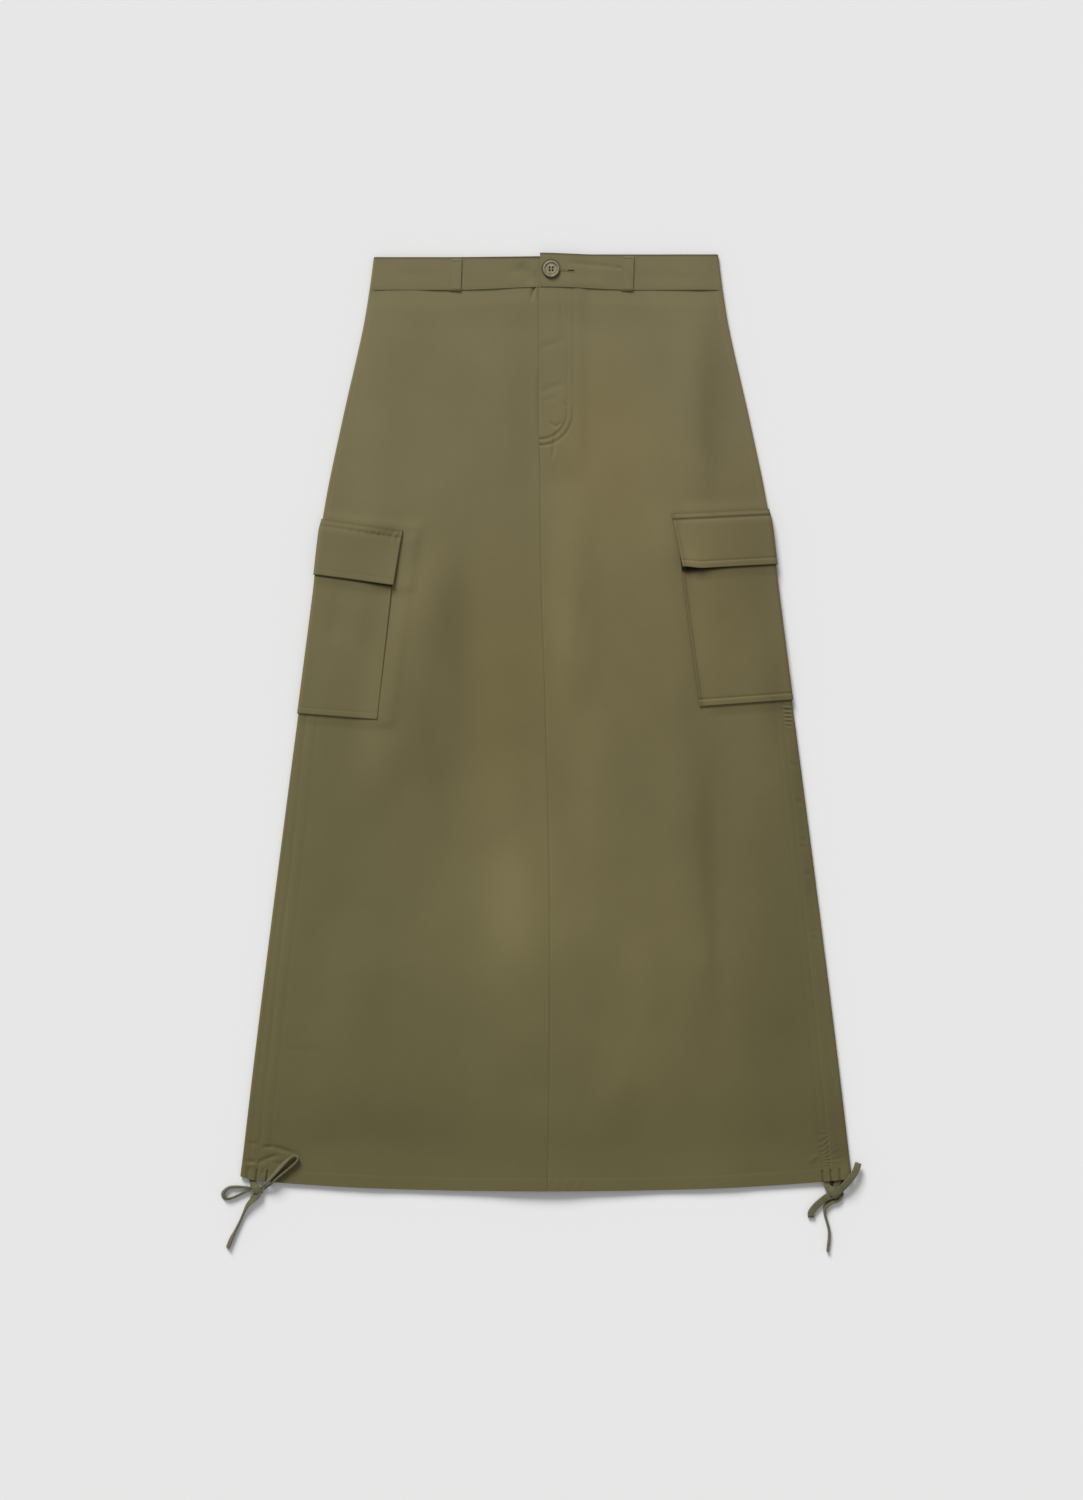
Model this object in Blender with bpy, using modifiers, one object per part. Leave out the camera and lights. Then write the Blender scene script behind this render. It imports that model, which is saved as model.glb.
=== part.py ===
"""Cargo utility skirt, buttoned, laid flat on its back with the front up.

World frame: metres, +Z up, +Y to the waist, +X to the wearer's left side.
The skirt lies on z = 0. The origin is under the middle of the cloth's box.

The cloth is described by a ring round the skirt at each row. A point on the ring
is given by its side, by its girth, the distance over the cloth from the edge of
that side's fold (plus to the front, minus to the back), and by its drop, the
distance from the top of the waistband down the side fold.
"""
import math
from collections import namedtuple

import bmesh
import bpy
from mathutils import Vector

# ---------------------------------------------------------------- driving sizes

# The whole skirt: down its middle, down its sides.
LENGTH = 0.937
SIDE_LENGTH = 0.925
TOP_Y = LENGTH / 2
HEM_SAG = LENGTH - SIDE_LENGTH
HEM_SAG_START = 0.70
HEM_SAG_POWER = 2.6

# Walls, and the space kept between two layers.
WALL = 0.0012
BAND_WALL = 0.0020
TRIM_WALL = 0.0010
CASING_WALL = 0.0008
GAP = 0.0003
HALF_SEAM = GAP / 2
TRIM_STEP = TRIM_WALL + GAP
RAMP = 0.012

# The side folds, and how the front settles from their height to the back.
FOLD_RADIUS = 0.0024
ARC_STEPS = 6
ARC_END = FOLD_RADIUS * math.pi / 2
SETTLE_START = 0.012
SETTLE_END = 0.075
FIRST_COLUMN = 0.026

# The waistband: its left end laps over its right end.
BAND_DROP = 0.037
BAND_EASE = 0.043
SEAM_BOW = 0.003
SEAM_BOW_REACH = 0.09
BAND_TURN_X = 0.166
RIGHT_TOP_DROP = 0.0042
LEFT_TOP_DROP = 0.0015
UNDERLAP_END = 0.022
LAP_END = -0.006
LAP_SLOPE_END = 0.050

# The fly: the left front rides over the shield, to its end and its width.
FLY_END = 0.190
FLY_FADE_END = 0.235
FLY_WIDTH = 0.036
FLY_SLOPE_END = 0.052
FLY_BAND_EASE = 0.030

# Half the flat width of the skirt at each drop.
Outline = namedtuple("Outline", "drop half_width")
OUTLINE = (
    Outline(0.000, 0.1720),
    Outline(0.037, 0.1765),
    Outline(0.077, 0.1832),
    Outline(0.167, 0.2035),
    Outline(0.257, 0.2218),
    Outline(0.347, 0.2328),
    Outline(0.925, 0.3055),
)

# The seams wander a little as the skirt lies: centre front by x, side seams by girth.
Seams = namedtuple("Seams", "drop centre right left")
SEAMS = (
    Seams(0.000, -0.0060, 0.0058, 0.0084),
    Seams(0.195, -0.0060, 0.0058, 0.0084),
    Seams(0.311, -0.0050, 0.0062, 0.0088),
    Seams(0.446, -0.0010, 0.0094, 0.0114),
    Seams(0.600, 0.0030, 0.0136, 0.0152),
    Seams(0.700, 0.0040, 0.0146, 0.0170),
    Seams(0.830, 0.0030, 0.0160, 0.0194),
    Seams(0.925, 0.0015, 0.0174, 0.0214),
)

# A pocket and its flap wrap round the side fold. Girths and drops of their edges,
# and how far each edge falls between the fold and the pocket's front corner.
Side = namedtuple(
    "Side",
    "name sign pocket_front pocket_back flap_front flap_back "
    "flap_top flap_bottom pocket_bottom top_fall bottom_fall",
)
RIGHT = Side("right", -1, 0.0800, 0.0905, 0.0830, 0.0940, 0.2655, 0.3205, 0.4600, 0.0120, 0.0062)
LEFT = Side("left", 1, 0.0930, 0.0765, 0.0955, 0.0785, 0.2556, 0.3090, 0.4454, 0.0044, 0.0068)
SIDES = (RIGHT, LEFT)
POCKET_TOP_BELOW_FLAP = 0.012
FALL_START = 0.080
FALL_END = 0.110
FALL_REACH = 2.2
FLAP_FLARE = 0.0012
FLAP_CORNER_FLARE = 0.0012

# Soft folds of the front as it lies: a crest from head to foot, its height in the
# middle, and how far it spreads to -X and to +X of the crest.
Drape = namedtuple("Drape", "name head_x head_y foot_x foot_y height spread_right spread_left")
DRAPES = (
    Drape("right hip", -0.114, 0.190, -0.176, -0.110, 0.0038, 0.040, 0.040),
    Drape("right thigh", -0.052, -0.020, -0.010, -0.290, 0.0032, 0.060, 0.034),
    Drape("centre", 0.028, 0.250, 0.030, -0.010, 0.0026, 0.026, 0.030),
    Drape("left hip", 0.112, 0.230, 0.148, -0.010, 0.0026, 0.028, 0.024),
    Drape("left waist", 0.146, 0.400, 0.158, 0.190, 0.0026, 0.034, 0.020),
    Drape("left thigh", 0.146, -0.010, 0.160, -0.330, 0.0036, 0.044, 0.022),
    Drape("left shin", 0.112, -0.180, 0.066, -0.430, 0.0026, 0.040, 0.044),
    Drape("right shin", -0.190, -0.180, -0.214, -0.430, 0.0024, 0.044, 0.050),
    Drape("hem middle", 0.000, -0.360, 0.006, -0.560, 0.0034, 0.110, 0.100),
)
DRAPE_END_FADE = 0.30
DRAPE_SIDE_START = 0.010
DRAPE_SIDE_END = 0.060
DRAPE_WAIST_REACH = 0.060

# Belt loops, wearer's side and x of the middle.
LOOP_WIDTH = 0.012
LOOP_DROP = 0.0015
LOOP_TAIL = 0.0405
LOOP_WALL = 0.0012
LOOP_BOW = 0.0009
LOOP_CENTRES = (("right", -0.0900), ("left", 0.0830))

# The button, its hole in the band and the holes for its thread.
BUTTON_RADIUS = 0.0085
BUTTON_HEIGHT = 0.0026
BUTTON_AT = (0.005, 0.4530)
BUTTONHOLE = (0.0170, 0.4530)
BUTTONHOLE_SIZE = (0.0210, 0.0011)
THREAD_HOLE_RADIUS = 0.0010
THREAD_HOLE_SPACING = 0.0025

# The drawcords' casings and their flat tape.
CASING_HALF_WIDTH = 0.009
TAPE_WIDTH = 0.0065
TAPE_THICKNESS = 0.0013

# ---------------------------------------------------------------- small helpers


def blend(at, start, end):
    """0 before start, 1 after end, an S-curve between."""
    share = min(max((at - start) / (end - start), 0.0), 1.0)
    return share * share * (3 - 2 * share)


def even(start, end, count):
    """The ends of count equal stretches from start to end, without start itself."""
    return [start + (end - start) * index / count for index in range(1, count + 1)]


def read(rows, column, at):
    """Value of one column of a table at a drop, on a smooth curve through its rows."""
    drops = [row.drop for row in rows]
    values = [getattr(row, column) for row in rows]
    at = min(max(at, drops[0]), drops[-1])
    last = len(rows) - 1
    index = next(i for i in range(last) if at <= drops[i + 1])

    def slope(i):
        low = max(i - 1, 0)
        high = min(i + 1, last)
        return (values[high] - values[low]) / (drops[high] - drops[low])

    span = drops[index + 1] - drops[index]
    t = (at - drops[index]) / span
    keep = 2 * t**3 - 3 * t**2 + 1
    leave = t**3 - 2 * t**2 + t
    arrive = t**3 - t**2
    return (
        keep * values[index]
        + (1 - keep) * values[index + 1]
        + span * (leave * slope(index) + arrive * slope(index + 1))
    )


# ---------------------------------------------------------------- the cloth's form


def half_width(drop):
    return read(OUTLINE, "half_width", drop)


def side_seam(side, drop):
    return read(SEAMS, side.name, drop)


def centre_girth(side, drop):
    """Girth of the centre front seam, measured from one side's fold."""
    centre = read(SEAMS, "centre", drop)
    return half_width(drop) - side.sign * centre - FOLD_RADIUS + ARC_END


def flat_x(side, girth, drop):
    """X of a ring point."""
    half = half_width(drop)
    if abs(girth) <= ARC_END:
        return side.sign * (half - FOLD_RADIUS * (1 - math.cos(girth / FOLD_RADIUS)))
    return side.sign * (half - FOLD_RADIUS - (abs(girth) - ARC_END))


def pocket_fall(side, girth, drop):
    """How far the cloth's rows drop towards the pocket's front corner."""
    top = side.flap_top
    bottom = side.pocket_bottom
    share = min(max((drop - top) / (bottom - top), 0.0), 1.0)
    fall = side.top_fall + (side.bottom_fall - side.top_fall) * share
    fall *= blend(drop, top - FALL_START, top) * (1 - blend(drop, bottom, bottom + FALL_END))
    reach = abs(girth) / side.pocket_front
    if reach <= 1.0:
        return fall * reach
    return fall * (1 - blend(reach, 1.0, FALL_REACH))


def row_y(side, girth, drop):
    """Y of a ring point: level rows, bowed at the waist, by the pockets and at the hem."""
    x = flat_x(side, girth, drop)
    bow = SEAM_BOW * (1 - blend(abs(x), 0.0, SEAM_BOW_REACH))
    bow *= 1 - blend(drop, BAND_DROP, BAND_DROP + SEAM_BOW_REACH)
    sag = HEM_SAG * (1 - abs(x / half_width(drop)) ** HEM_SAG_POWER)
    sag *= blend(drop, HEM_SAG_START, SIDE_LENGTH)
    return TOP_Y - drop + bow - sag - pocket_fall(side, girth, drop)


def window(at, start, end):
    """1 from start to end, falling to 0 one ramp outside."""
    return blend(at, start - RAMP, start) * (1 - blend(at, end, end + RAMP))


def pocket_share(side, girth, drop):
    """1 over the pocket, 0 clear of it."""
    edge = side.pocket_front if girth > 0 else side.pocket_back
    along = window(drop, side.flap_top + POCKET_TOP_BELOW_FLAP, side.pocket_bottom)
    return along * (1 - blend(abs(girth), edge, edge + RAMP))


def flap_share(side, girth, drop):
    edge = side.flap_front if girth > 0 else side.flap_back
    along = window(drop, side.flap_top, side.flap_bottom)
    return along * (1 - blend(abs(girth), edge, edge + RAMP))


def bed(side, girth, drop):
    """Height of the back wall's underside: it lies on the back of the pocket and flap."""
    behind = -abs(girth)
    return TRIM_STEP * (pocket_share(side, behind, drop) + flap_share(side, behind, drop))


def drape(x, y):
    """Height of the soft folds at a place on the front."""
    total = 0.0
    for fold in DRAPES:
        along = (fold.head_y - y) / (fold.head_y - fold.foot_y)
        if along <= 0.0 or along >= 1.0:
            continue
        crest = fold.head_x + (fold.foot_x - fold.head_x) * along
        spread = fold.spread_left if x > crest else fold.spread_right
        across = 1 - blend(abs(x - crest), 0.0, spread)
        ends = blend(along, 0.0, DRAPE_END_FADE) * (1 - blend(along, 1 - DRAPE_END_FADE, 1.0))
        total += fold.height * across * ends
    return total


def front_height(side, girth, drop):
    """Height of the front wall's outside above the bed."""
    x = flat_x(side, girth, drop)
    inside = abs(girth) - ARC_END
    layers = 2 * WALL + GAP
    shoulder = 2 * (BAND_WALL - WALL) * (1 - blend(drop, BAND_DROP, BAND_DROP + BAND_EASE))
    rest = layers + shoulder
    fold = 2 * FOLD_RADIUS
    height = fold + (rest - fold) * blend(inside, SETTLE_START, SETTLE_END)
    away_from_side = blend(inside, DRAPE_SIDE_START, DRAPE_SIDE_END)
    away_from_waist = blend(drop, BAND_DROP, BAND_DROP + DRAPE_WAIST_REACH)
    soft = drape(x, row_y(side, girth, drop)) * away_from_side * away_from_waist
    return height + soft


def fly_lift(girth, drop):
    """The left front rides over the fly shield, and at the top over the waistband's end."""
    from_centre = centre_girth(LEFT, drop) - girth
    across = 1 - blend(from_centre, FLY_WIDTH, FLY_SLOPE_END)
    down = 1 - blend(drop, FLY_END, FLY_FADE_END)
    over_band = (BAND_WALL - WALL) * (1 - blend(drop, BAND_DROP, BAND_DROP + FLY_BAND_EASE))
    return (WALL + GAP + over_band) * across * down


def ring_point(side, girth, drop, out=0.0, lift=0.0):
    """A point of the cloth, moved out from its outer face, and lifted if it is in front."""
    y = row_y(side, girth, drop)
    ground = bed(side, girth, drop)
    if abs(girth) <= ARC_END:
        angle = girth / FOLD_RADIUS
        radius = FOLD_RADIUS + out
        x = half_width(drop) - FOLD_RADIUS + radius * math.cos(angle)
        return Vector((side.sign * x, y, ground + FOLD_RADIUS + radius * math.sin(angle)))
    x = flat_x(side, girth, drop)
    if girth < 0:
        return Vector((x, y, ground - out))
    return Vector((x, y, ground + front_height(side, girth, drop) + out + lift))


# ---------------------------------------------------------------- rows and columns


def rows_from_waist(side):
    """Drops of the cloth's rows, with one on each edge of the flap and the pocket."""
    pocket_top = side.flap_top + POCKET_TOP_BELOW_FLAP
    rows = [BAND_DROP + HALF_SEAM]
    rows += even(rows[-1], FLY_END, 5)
    rows += even(rows[-1], side.flap_top - RAMP, 2)
    rows += [side.flap_top, pocket_top]
    rows += even(rows[-1], side.flap_bottom, 2)
    rows += [side.flap_bottom + RAMP]
    rows += even(rows[-1], side.pocket_bottom, 4)
    rows += [side.pocket_bottom + RAMP]
    rows += even(rows[-1], SIDE_LENGTH, 11)
    return rows


def side_girths(side):
    """Girths of the columns beside the fold, with one on each edge of pocket and flap."""
    edges = {side.pocket_front, side.flap_front, side.pocket_back, side.flap_back}
    edges.add(side.flap_back + RAMP)
    near = min(edges)
    return [FIRST_COLUMN] + even(FIRST_COLUMN, near, 3)[:-1] + sorted(edges)


def arc_girths():
    """Girths round the fold, from the front to the back."""
    return [ARC_END * (1 - 2 * index / ARC_STEPS) for index in range(ARC_STEPS + 1)]


def front_girths(side, drop, middle_columns=9):
    """Columns of a front panel, from its side seam to the centre front."""
    outer = side_girths(side)
    centre = centre_girth(side, drop) - HALF_SEAM
    start_of_centre = centre - FLY_WIDTH
    columns = [side_seam(side, drop) + HALF_SEAM]
    columns += outer
    columns += even(outer[-1], start_of_centre, middle_columns)
    columns += even(start_of_centre, centre, 3)
    return columns


def wrap_girths(side, drop):
    """Columns of the back panel from one side seam round the fold to clear of the flap."""
    return [side_seam(side, drop) - HALF_SEAM] + arc_girths() + [-g for g in side_girths(side)]


# ---------------------------------------------------------------- making objects


def clear_scene():
    for item in list(bpy.data.objects):
        bpy.data.objects.remove(item, do_unlink=True)


def collection(name):
    group = bpy.data.collections.new(name)
    bpy.context.scene.collection.children.link(group)
    return group


def finish(name, colour, roughness):
    material = bpy.data.materials.new(name)
    material.use_nodes = True
    shader = material.node_tree.nodes["Principled BSDF"]
    shader.inputs["Base Color"].default_value = (*colour, 1.0)
    shader.inputs["Roughness"].default_value = roughness
    shader.inputs["Metallic"].default_value = 0.0
    return material


def wall(name, rows, thickness, look, group):
    """A cloth wall: a surface through rows of outer points, thickened inwards.

    Each cell's crease runs down and away from the middle of the skirt, so layers that
    are made from the same points stay parallel.
    """
    mesh = bpy.data.meshes.new(name)
    form = bmesh.new()
    grid = [[form.verts.new(point) for point in row] for row in rows]
    for upper, lower in zip(grid, grid[1:]):
        for left in range(len(upper) - 1):
            corners = [upper[left], lower[left], lower[left + 1], upper[left + 1]]
            if abs(corners[0].co.x) > abs(corners[3].co.x):
                corners = corners[1:] + corners[:1]
            form.faces.new(corners[:3])
            form.faces.new((corners[2], corners[3], corners[0]))
    form.to_mesh(mesh)
    form.free()
    mesh.shade_smooth()
    piece = bpy.data.objects.new(name, mesh)
    group.objects.link(piece)
    mesh.materials.append(look)
    thicken = piece.modifiers.new("Wall", "SOLIDIFY")
    thicken.thickness = thickness
    thicken.offset = -1.0
    thicken.use_even_offset = True
    return piece


# ---------------------------------------------------------------- the cloth pieces


def front_panels(look, group):
    """Two A-line fronts, parted at the centre front seam."""
    for side in SIDES:
        rows = []
        for drop in rows_from_waist(side):
            girths = front_girths(side, drop)
            row = []
            for girth in girths:
                lift = fly_lift(girth, drop) if side is LEFT else 0.0
                row.append(ring_point(side, girth, drop, lift=lift))
            rows.append(row if side is RIGHT else row[::-1])
        wall("front_" + side.name, rows, WALL, look, group)


def back_panel(look, group):
    """One back, round both folds to the side seams. Its rows tilt from side to side."""
    rows = []
    for right_drop, left_drop in zip(rows_from_waist(RIGHT), rows_from_waist(LEFT)):
        right = [ring_point(RIGHT, g, right_drop) for g in wrap_girths(RIGHT, right_drop)]
        left = [ring_point(LEFT, g, left_drop) for g in wrap_girths(LEFT, left_drop)]
        middle = []
        for share in even(0.0, 1.0, 6)[:-1]:
            x = right[-1].x + (left[-1].x - right[-1].x) * share
            drop = right_drop + (left_drop - right_drop) * share
            side = RIGHT if x < 0 else LEFT
            girth = -(half_width(drop) - FOLD_RADIUS + ARC_END - abs(x))
            middle.append(ring_point(side, girth, drop))
        rows.append((right + middle + left[::-1])[::-1])
    wall("back_panel", rows, WALL, look, group)


def fly_shield(look, group):
    """A strip that carries on from the right front, under the lap of the left front."""
    rows = []
    for drop in rows_from_waist(LEFT):
        if drop > FLY_END + GAP:
            break
        girths = front_girths(LEFT, drop)[-4:]
        rows.append([ring_point(LEFT, girth, drop) for girth in girths][::-1])
    wall("fly_shield", rows, WALL, look, group)


def band_top(side, girth, x):
    """How far the waistband's top edge lies below the highest point."""
    if girth > 0 and side is RIGHT:
        return RIGHT_TOP_DROP
    if girth > 0:
        return LEFT_TOP_DROP * blend(x, LAP_END, LAP_SLOPE_END)
    share = blend(x, -BAND_TURN_X, BAND_TURN_X)
    return RIGHT_TOP_DROP + (LEFT_TOP_DROP - RIGHT_TOP_DROP) * share


def band_girth(side, x, drop):
    """Girth, towards the front, of a place given by its x."""
    return half_width(drop) - FOLD_RADIUS + ARC_END - side.sign * x


def band_stations():
    """Places along the waistband from the underlap, round the back, to the lap's end."""
    drop = BAND_DROP - HALF_SEAM
    lap = BAND_WALL + GAP
    slope_start = UNDERLAP_END + GAP
    front = [UNDERLAP_END] + even(UNDERLAP_END, -BAND_TURN_X, 8)
    stations = [(RIGHT, band_girth(RIGHT, x, drop), 0.0) for x in front]
    stations += [(RIGHT, girth, 0.0) for girth in arc_girths()]
    back = even(-BAND_TURN_X, 0.0, 4)[:-1]
    stations += [(RIGHT, -band_girth(RIGHT, x, drop), 0.0) for x in back]
    stations += [(LEFT, -band_girth(LEFT, -x, drop), 0.0) for x in [0.0] + back[::-1]]
    stations += [(LEFT, girth, 0.0) for girth in arc_girths()[::-1]]
    front = [BAND_TURN_X] + even(BAND_TURN_X, LAP_SLOPE_END, 5)
    front += even(LAP_SLOPE_END, slope_start, 4) + even(slope_start, LAP_END, 3)
    for x in front:
        lift = lap * (1 - blend(x, slope_start, LAP_SLOPE_END))
        stations.append((LEFT, band_girth(LEFT, x, drop), lift))
    return stations


def band_point(station, share):
    """A point of the waistband, share of the way from its seam to its top edge."""
    side, girth, lift = station
    drop = BAND_DROP - HALF_SEAM
    low = ring_point(side, girth, drop, lift=lift)
    taper = half_width(drop * (1 - share)) / half_width(drop)
    x = low.x * (1 + (taper - 1) * blend(abs(low.x), 0.0, BAND_TURN_X))
    top_y = TOP_Y - band_top(side, girth, low.x)
    return Vector((x, low.y + (top_y - low.y) * share, low.z))


def waistband(look, group, cutters):
    """One doubled strip with a buttonhole near the end that laps over."""
    stations = band_stations()
    stations.reverse()
    rows = [[band_point(station, share) for station in stations] for share in (1.0, 0.5, 0.0)]
    band = wall("waistband", rows, BAND_WALL, look, group)
    bpy.ops.mesh.primitive_cube_add(size=1.0, location=(*BUTTONHOLE, band_face(LAP_END) - BAND_WALL / 2))
    slot = bpy.context.object
    slot.name = "buttonhole_cutter"
    slot.scale = (*BUTTONHOLE_SIZE, BAND_WALL + GAP)
    make_cutter(slot, cutters)
    cut(band, slot)


def band_face(x):
    """Height of the waistband's front at a place on it."""
    side = LEFT if x >= LAP_END else RIGHT
    drop = BAND_DROP - HALF_SEAM
    lap = (BAND_WALL + GAP) * (1 - blend(x, UNDERLAP_END + GAP, LAP_SLOPE_END))
    return ring_point(side, band_girth(side, x, drop), drop, lift=lap if side is LEFT else 0.0).z


def belt_loops(look, group):
    """Flat strips over the waistband, folded under at the top and tacked at both ends."""
    for name, centre in LOOP_CENTRES:
        side = RIGHT if name == "right" else LEFT
        girth = band_girth(side, centre, BAND_DROP)
        top_y = TOP_Y - band_top(side, girth, centre) - LOOP_DROP
        foot_y = TOP_Y - LOOP_TAIL
        rows = []
        for share in [0.0] + even(0.0, 1.0, 8):
            rise = LOOP_BOW * math.sin(math.pi * share)
            y = top_y + (foot_y - top_y) * share
            row = []
            for x in (centre - LOOP_WIDTH / 2, centre, centre + LOOP_WIDTH / 2):
                row.append(Vector((x, y, band_face(x) + GAP + LOOP_WALL + rise)))
            rows.append(row)
        wall("belt_loop_" + name, rows, LOOP_WALL, look, group)


def pockets(look, group):
    """Patch pockets, made from the points of the panels that they lie on."""
    for side in SIDES:
        pocket_top = side.flap_top + POCKET_TOP_BELOW_FLAP
        rows = []
        for drop in rows_from_waist(side):
            if drop < pocket_top - GAP or drop > side.pocket_bottom + GAP:
                continue
            girths = patch_girths(side, drop, side.pocket_front, side.pocket_back)
            row = [ring_point(side, girth, drop, out=TRIM_STEP) for girth in girths]
            rows.append(row[::-1] if side is RIGHT else row)
        wall("pocket_" + side.name, rows, TRIM_WALL, look, group)


def patch_girths(side, drop, front_edge, back_edge):
    """Columns across a patch, from its front edge round the fold to its back edge."""
    girths = side_girths(side)
    front = [girth for girth in girths if girth <= front_edge + GAP]
    back = [-girth for girth in girths if girth <= back_edge + GAP]
    return front[::-1] + [side_seam(side, drop)] + arc_girths() + back


def flaps(look, group):
    """Pocket flaps: sewn above the pocket, over its mouth, a little open at the lower edge."""
    for side in SIDES:
        rows = []
        for drop in rows_from_waist(side):
            if drop < side.flap_top - GAP or drop > side.flap_bottom + GAP:
                continue
            low = blend(drop, side.flap_top + RAMP, side.flap_bottom)
            row = []
            for girth in patch_girths(side, drop, side.flap_front, side.flap_back):
                out = TRIM_STEP * (1 + pocket_share(side, girth, drop))
                corner = blend(girth, side.flap_front / 2, side.flap_front)
                flare = (FLAP_FLARE + FLAP_CORNER_FLARE * corner) * low * blend(girth, ARC_END, FIRST_COLUMN)
                row.append(ring_point(side, girth, drop, out=out, lift=flare))
            rows.append(row[::-1] if side is RIGHT else row)
        wall("flap_" + side.name, rows, TRIM_WALL, look, group)


def casings(look, group):
    """Strips inside the side seams that carry the drawcords down to the hem."""
    for side in SIDES:
        rows = []
        for drop in rows_from_waist(side):
            if drop < side.pocket_bottom + GAP:
                continue
            seam = side_seam(side, drop)
            low_girth = max(seam - CASING_HALF_WIDTH, ARC_END + GAP)
            girths = (seam + CASING_HALF_WIDTH, seam, low_girth)
            row = [ring_point(side, girth, drop, out=-(WALL + GAP)) for girth in girths]
            rows.append(row[::-1] if side is RIGHT else row)
        wall("casing_" + side.name, rows, CASING_WALL, look, group)


# ---------------------------------------------------------------- the button


def make_cutter(piece, cutters):
    """Keep a cutting shape out of the model."""
    for group in list(piece.users_collection):
        group.objects.unlink(piece)
    cutters.objects.link(piece)
    piece.hide_render = True
    piece.display_type = "WIRE"


def cut(piece, cutter):
    boolean = piece.modifiers.new("Cut", "BOOLEAN")
    boolean.operation = "DIFFERENCE"
    boolean.solver = "EXACT"
    boolean.object = cutter


def button(look, group, cutters):
    """A turned button with a raised rim, a dished face and four thread holes."""
    rim = BUTTON_RADIUS
    height = BUTTON_HEIGHT
    profile = (
        (0.0, height * 0.62),
        (rim * 0.55, height * 0.62),
        (rim * 0.68, height * 0.80),
        (rim * 0.80, height),
        (rim * 0.92, height * 0.92),
        (rim, height * 0.62),
        (rim * 0.98, height * 0.30),
        (rim * 0.80, 0.0),
        (0.0, 0.0),
    )
    mesh = bpy.data.meshes.new("button")
    edges = [(index, index + 1) for index in range(len(profile) - 1)]
    mesh.from_pydata([(x, 0.0, z) for x, z in profile], edges, [])
    piece = bpy.data.objects.new("button", mesh)
    group.objects.link(piece)
    mesh.materials.append(look)
    piece.location = (*BUTTON_AT, band_face(BUTTON_AT[0]) + GAP)
    turn = piece.modifiers.new("Turn", "SCREW")
    turn.steps = 28
    turn.render_steps = 28
    turn.use_merge_vertices = True
    turn.merge_threshold = 0.00005
    holes = bpy.data.meshes.new("thread_holes")
    form = bmesh.new()
    for across in (-1, 1):
        for along in (-1, 1):
            made = bmesh.ops.create_cone(
                form,
                cap_ends=True,
                segments=10,
                radius1=THREAD_HOLE_RADIUS,
                radius2=THREAD_HOLE_RADIUS,
                depth=BUTTON_HEIGHT * 3,
            )
            shift = Vector((across, along, 0.0)) * THREAD_HOLE_SPACING / math.sqrt(2)
            bmesh.ops.translate(form, vec=shift, verts=made["verts"])
    form.to_mesh(holes)
    form.free()
    cutter = bpy.data.objects.new("thread_hole_cutter", holes)
    group.objects.link(cutter)
    cutter.location = piece.location
    make_cutter(cutter, cutters)
    cut(piece, cutter)


# ---------------------------------------------------------------- the drawcords

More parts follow.
